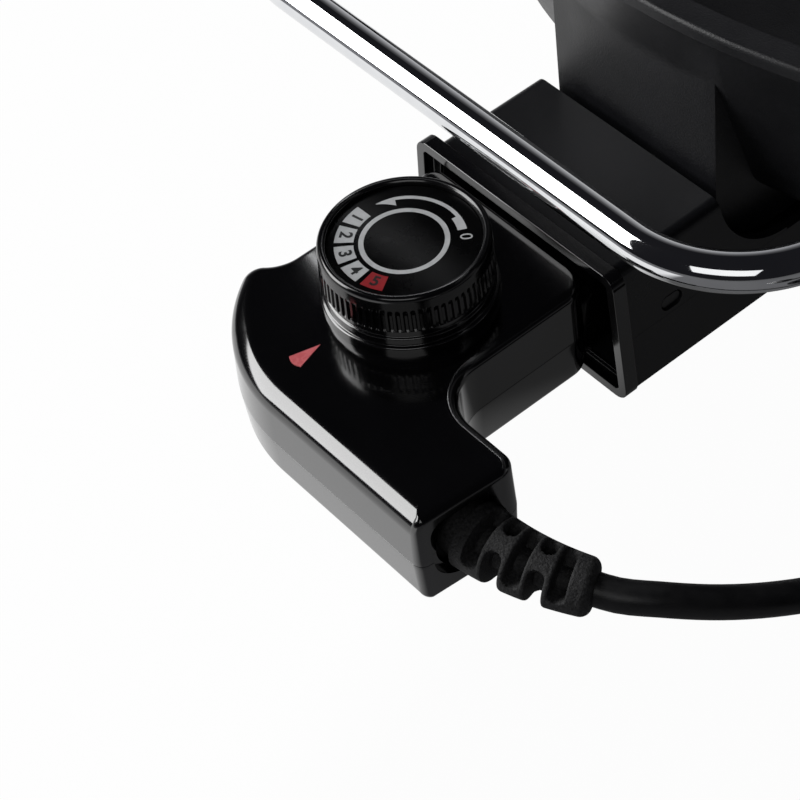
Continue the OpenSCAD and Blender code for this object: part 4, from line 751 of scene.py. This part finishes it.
for half, node, up in (("top", "control_upper_shell", 1), ("bottom", "control_lower_shell", -1)):
    rings = np.stack([nose_x, nose_along[:, None] + 0 * nose_x, split_z + up * nose_z], axis=-1)
    nose = skin_object(f"control_nose_{half}", from_dial(rings[:, ::-up]))
    bores = [pipe((x, nose_start - bore_lap, plug_z), (0, 1, 0), r, bore_l) for x, r in nose_bores]
    bored(nose, bores + [pipe((0, nose_end - clip_l, plug_z), (0, 1, 0), clip_bore_r, 2 * clip_l)])
    seat(nose, gloss_plastic, "control", "gloss_black_plastic", node)

# Parts inside the control and at its nose: a brown moulded block with brass sleeves, brass leaves
# under the dial's cam, a steel probe with a brass earth clip, the lead's clamp, screws and a lamp.
brown_moulding = finish_of("brown_moulding", (0.13, 0.050, 0.026), (0.19, 0.075, 0.038), (0.4, 0.56),
                           grain=1200.0, grain_height=0.04, smudge=70.0)
contact_brass = finish_of("contact_brass", (0.52, 0.34, 0.12), (0.64, 0.45, 0.19), (0.22, 0.4), metallic=1.0,
                          grain=1800.0, grain_height=0.006, smudge=120.0)
lamp_glass = finish_of("lamp_glass", (0.80, 0.42, 0.16), (0.86, 0.52, 0.22), (0.05, 0.1),
                       grain=500.0, grain_height=0.002, smudge=60.0)
pointer_red = finish_of("pointer_red", (0.66, 0.130, 0.145), (0.74, 0.185, 0.200), (0.22, 0.34),
                        grain=1500.0, grain_height=0.006, smudge=260.0)
for name, finish in (("contact_block", brown_moulding), ("contact_sleeves", contact_brass),
                     ("switch_leaves", contact_brass), ("probe", plated_steel),
                     ("earth_clip", contact_brass), ("cord_clamp", box_plastic),
                     ("shell_screws", plated_steel), ("pilot_lamp", lamp_glass),
                     ("pointer_lens", pointer_red), ("dial_shaft", plated_steel)):
    dress(name, finish)

# Seat of the dial: round steps of the same glossy plastic, moulded on the top shell. They lift the
# knob's skirt off the flat of the housing.
top_z = split_z + upper_h
dial_sides = 160
step_outline = eased([(0, top_z - 0.8), (21.5, top_z - 0.8), (21.3, top_z + 2.5), (20.4, top_z + 2.7),
                      (20.3, top_z + 4.7), (19.7, top_z + 4.9), (19.6, top_z + 6.7), (0, top_z + 6.7)],
                     [0, 0.1, 0.4, 0.2, 0.3, 0.2, 0.4, 0], closed=False)
dial_seat = skin_object("dial_seat", turned(step_outline, dial_axis_mm, dial_sides), capped=False)
seat(dial_seat, gloss_plastic, "control", "gloss_black_plastic", "control_upper_shell")

# Knob of the dial: glossy black plastic with a knurled skirt, a plain band over it, and a thin raised
# lip round the printed disc. It is pushed onto the flat of the shaft.
knob_plastic = finish_of("knob_plastic", (0.0020, 0.0020, 0.0024), (0.0036, 0.0036, 0.004), (0.12, 0.19),
                         grain=700.0, grain_height=0.003, smudge=55.0, Specular_IOR_Level=0.8)
knob_z, knurls, knurl_depth, knurl_points, knurl_steep = 51.7, 72, 0.6, 12, 1.6
knurl_from, knurl_fade_in, knurl_to, knurl_fade_out = 0.25, 0.4, 7.0, 1.6
skirt_r, skirt_foot_h = 20.3, 3.0
knob_outline = eased(
    [(0, 0), (20.4, 0), (20.8, 0.5), (20.8, 1.4), (20.45, 9.9), (19.9, 10.8), (18.9, 10.8), (18.35, 10.2),
     (18.3, 8.3), (0, 8.3)],
    [0, 0.3, 0.3, 0.3, 0.5, 0.45, 0.4, 0.3, 0.2, 0], closed=False)
first_high = int(np.argmax(knob_outline[:, 1] > skirt_foot_h))
skirt_share = np.linspace(0.0, 1.0, 17)[1:-1, None]
skirt = (1 - skirt_share) * knob_outline[first_high - 1] + skirt_share * knob_outline[first_high]
knob_outline = np.concatenate([knob_outline[:first_high], skirt, knob_outline[first_high:]])
knob_turn = np.linspace(0.0, 2 * np.pi, knurls * knurl_points, endpoint=False)
groove = np.clip(0.5 + knurl_steep * np.cos(knurls * knob_turn), 0.0, 1.0)
groove = groove ** 2 * (3 - 2 * groove)
height = knob_outline[:, 1]
fade_in = np.clip((height - knurl_from) / knurl_fade_in, 0, 1)
fade_out = np.clip((knurl_to - height) / knurl_fade_out, 0, 1)
band = fade_in * fade_out * (knob_outline[:, 0] > skirt_r)
knob_r = knob_outline[:, 0][:, None] - knurl_depth * band[:, None] * groove[None, :]
knob_level = (knob_z + height)[:, None] + 0 * knob_r
knob_grid = np.stack([knob_r * np.cos(knob_turn), knob_r * np.sin(knob_turn), knob_level], axis=-1)
knob = skin_object("dial_knob_cap", from_dial(knob_grid), capped=False, sharp=40.0)
seat(knob, knob_plastic, "dial", "knob_plastic", "dial_knob")

# Printed disc of the dial: black lacquered metal with a ring, an arrow, five boxes with their numbers
# and a nought, printed in pale grey, red and black.
disc_black = finish_of("dial_disc", (0.0012, 0.0012, 0.0014), (0.0022, 0.0022, 0.0025), (0.24, 0.34),
                       grain=1900.0, grain_height=0.002, smudge=90.0, Specular_IOR_Level=0.12)
print_grey = finish_of("dial_print_grey", (0.47, 0.48, 0.49), (0.56, 0.57, 0.58), (0.28, 0.4),
                       grain=2600.0, grain_height=0.004, smudge=300.0)
print_red = finish_of("dial_print_red", (0.27, 0.007, 0.012), (0.34, 0.013, 0.019), (0.34, 0.46),
                      grain=2600.0, grain_height=0.004, smudge=300.0)
print_black = finish_of("dial_print_black", (0.006, 0.006, 0.007), (0.012, 0.012, 0.013), (0.3, 0.42),
                        grain=2600.0, grain_height=0.004, smudge=300.0)
disc_r, disc_low, disc_z = 18.2, 60.0, 60.9
print_low, print_high, print_sharp = disc_z - 0.02, disc_z + 0.03, 20.0
ring_in, ring_out = 9.45, 10.68
box_in, box_out, box_half, box_angles = 11.8, 16.4, 10.2, (-168.0, -143.0, -118.0, -93.0, -68.0)
tail_from, shaft_from, shaft_to, head_to = 60.0, 79.0, 149.0, 168.0
tail_in, shaft_in, arrow_out = 12.6, 13.8, 14.8
head_in, head_in_grow, head_out_drop = 11.9, 2.4, 0.4
figure_size, figure_r, figure_weight, nought_angle, nought_r = 4.2, 14.1, 0.12, 50.0, 14.6
disc_outline = eased(
    [(0, disc_low), (disc_r, disc_low), (disc_r, disc_z), (0, disc_z)], [0, 0.1, 0.15, 0], closed=False)
disc = skin_object("dial_disc", turned(disc_outline, dial_axis_mm, dial_sides), capped=False)
seat(disc, disc_black, "dial", "dial_print", "dial_face")


def print_on(piece, ink):
    """Gives a print its ink, and seats it on the dial as part of its face."""
    seat(piece, ink, "dial", "dial_print", "dial_face")


def printed_band(name, start, end, inner, outer):
    """Flat print between two angles in degrees: its inner and outer radius may change along it."""
    angle = np.radians(np.linspace(start, end, len(inner)))[:, None]
    radius = np.stack([outer, inner, inner, outer], axis=1)
    height = np.array([print_low, print_low, print_high, print_high])
    grid = np.stack([radius * np.cos(angle), radius * np.sin(angle), height + 0 * radius], axis=-1)
    return skin_object(name, from_dial(grid[:, ::-1]), sharp=print_sharp)


ring_outline = [(ring_in, print_low), (ring_out, print_low), (ring_out, print_high), (ring_in, print_high)]
ring_grid = turned(ring_outline, dial_axis_mm, dial_sides)
print_on(skin_object("print_ring", ring_grid, looped=True, sharp=print_sharp), print_grey)
for number, angle in enumerate(box_angles, start=1):
    box = printed_band(f"print_box_{number}", angle - box_half, angle + box_half,
                       np.full(17, box_in), np.full(17, box_out))
    print_on(box, print_red if number == len(box_angles) else print_grey)
shaft = printed_band("print_arrow_shaft", shaft_from, shaft_to,
                     np.full(49, shaft_in), np.full(49, arrow_out))
print_on(shaft, print_grey)
tail = printed_band("print_arrow_tail", tail_from, shaft_from,
                    np.full(17, tail_in), np.full(17, arrow_out))
print_on(tail, print_grey)
head_share = np.linspace(0.0, 1.0, 17)
head = printed_band("print_arrow_head", shaft_to, head_to,
                    head_in + head_in_grow * head_share, arrow_out - head_out_drop * head_share)
print_on(head, print_grey)


def printed_figure(word, angle, radius, weight):
    """Number on the disc as a thin solid, its top towards the disc's middle, its strokes made fatter
    by weight millimetres."""
    name = "print_figure_" + word
    curve = bpy.data.curves.new(name, "FONT")
    curve.body = word
    curve.size = figure_size * MM
    curve.align_x = "CENTER"
    curve.align_y = "CENTER"
    curve.extrude = 0.02 * MM
    curve.offset = weight * MM
    letter = bpy.data.objects.new(name, curve)
    bpy.context.scene.collection.objects.link(letter)
    bpy.context.view_layer.update()
    made = letter.evaluated_get(bpy.context.evaluated_depsgraph_get())
    mesh = bpy.data.meshes.new_from_object(made)
    bpy.data.objects.remove(letter)
    out_x, out_y = flat_heading(angle)
    place = from_dial((radius * out_x, radius * out_y, print_high + 0.015))
    mesh.transform(Matrix((
        (-out_y, -out_x, 0, place[0]),
        (out_x, -out_y, 0, place[1]),
        (0, 0, 1, place[2]),
        (0, 0, 0, 1))))
    mesh.name = name
    piece = bpy.data.objects.new(name, mesh)
    bpy.context.scene.collection.objects.link(piece)
    return piece


for number, angle in enumerate(box_angles, start=1):
    print_on(printed_figure(str(number), angle, figure_r, figure_weight), print_black)
print_on(printed_figure("0", nought_angle, nought_r, 0.0), print_grey)
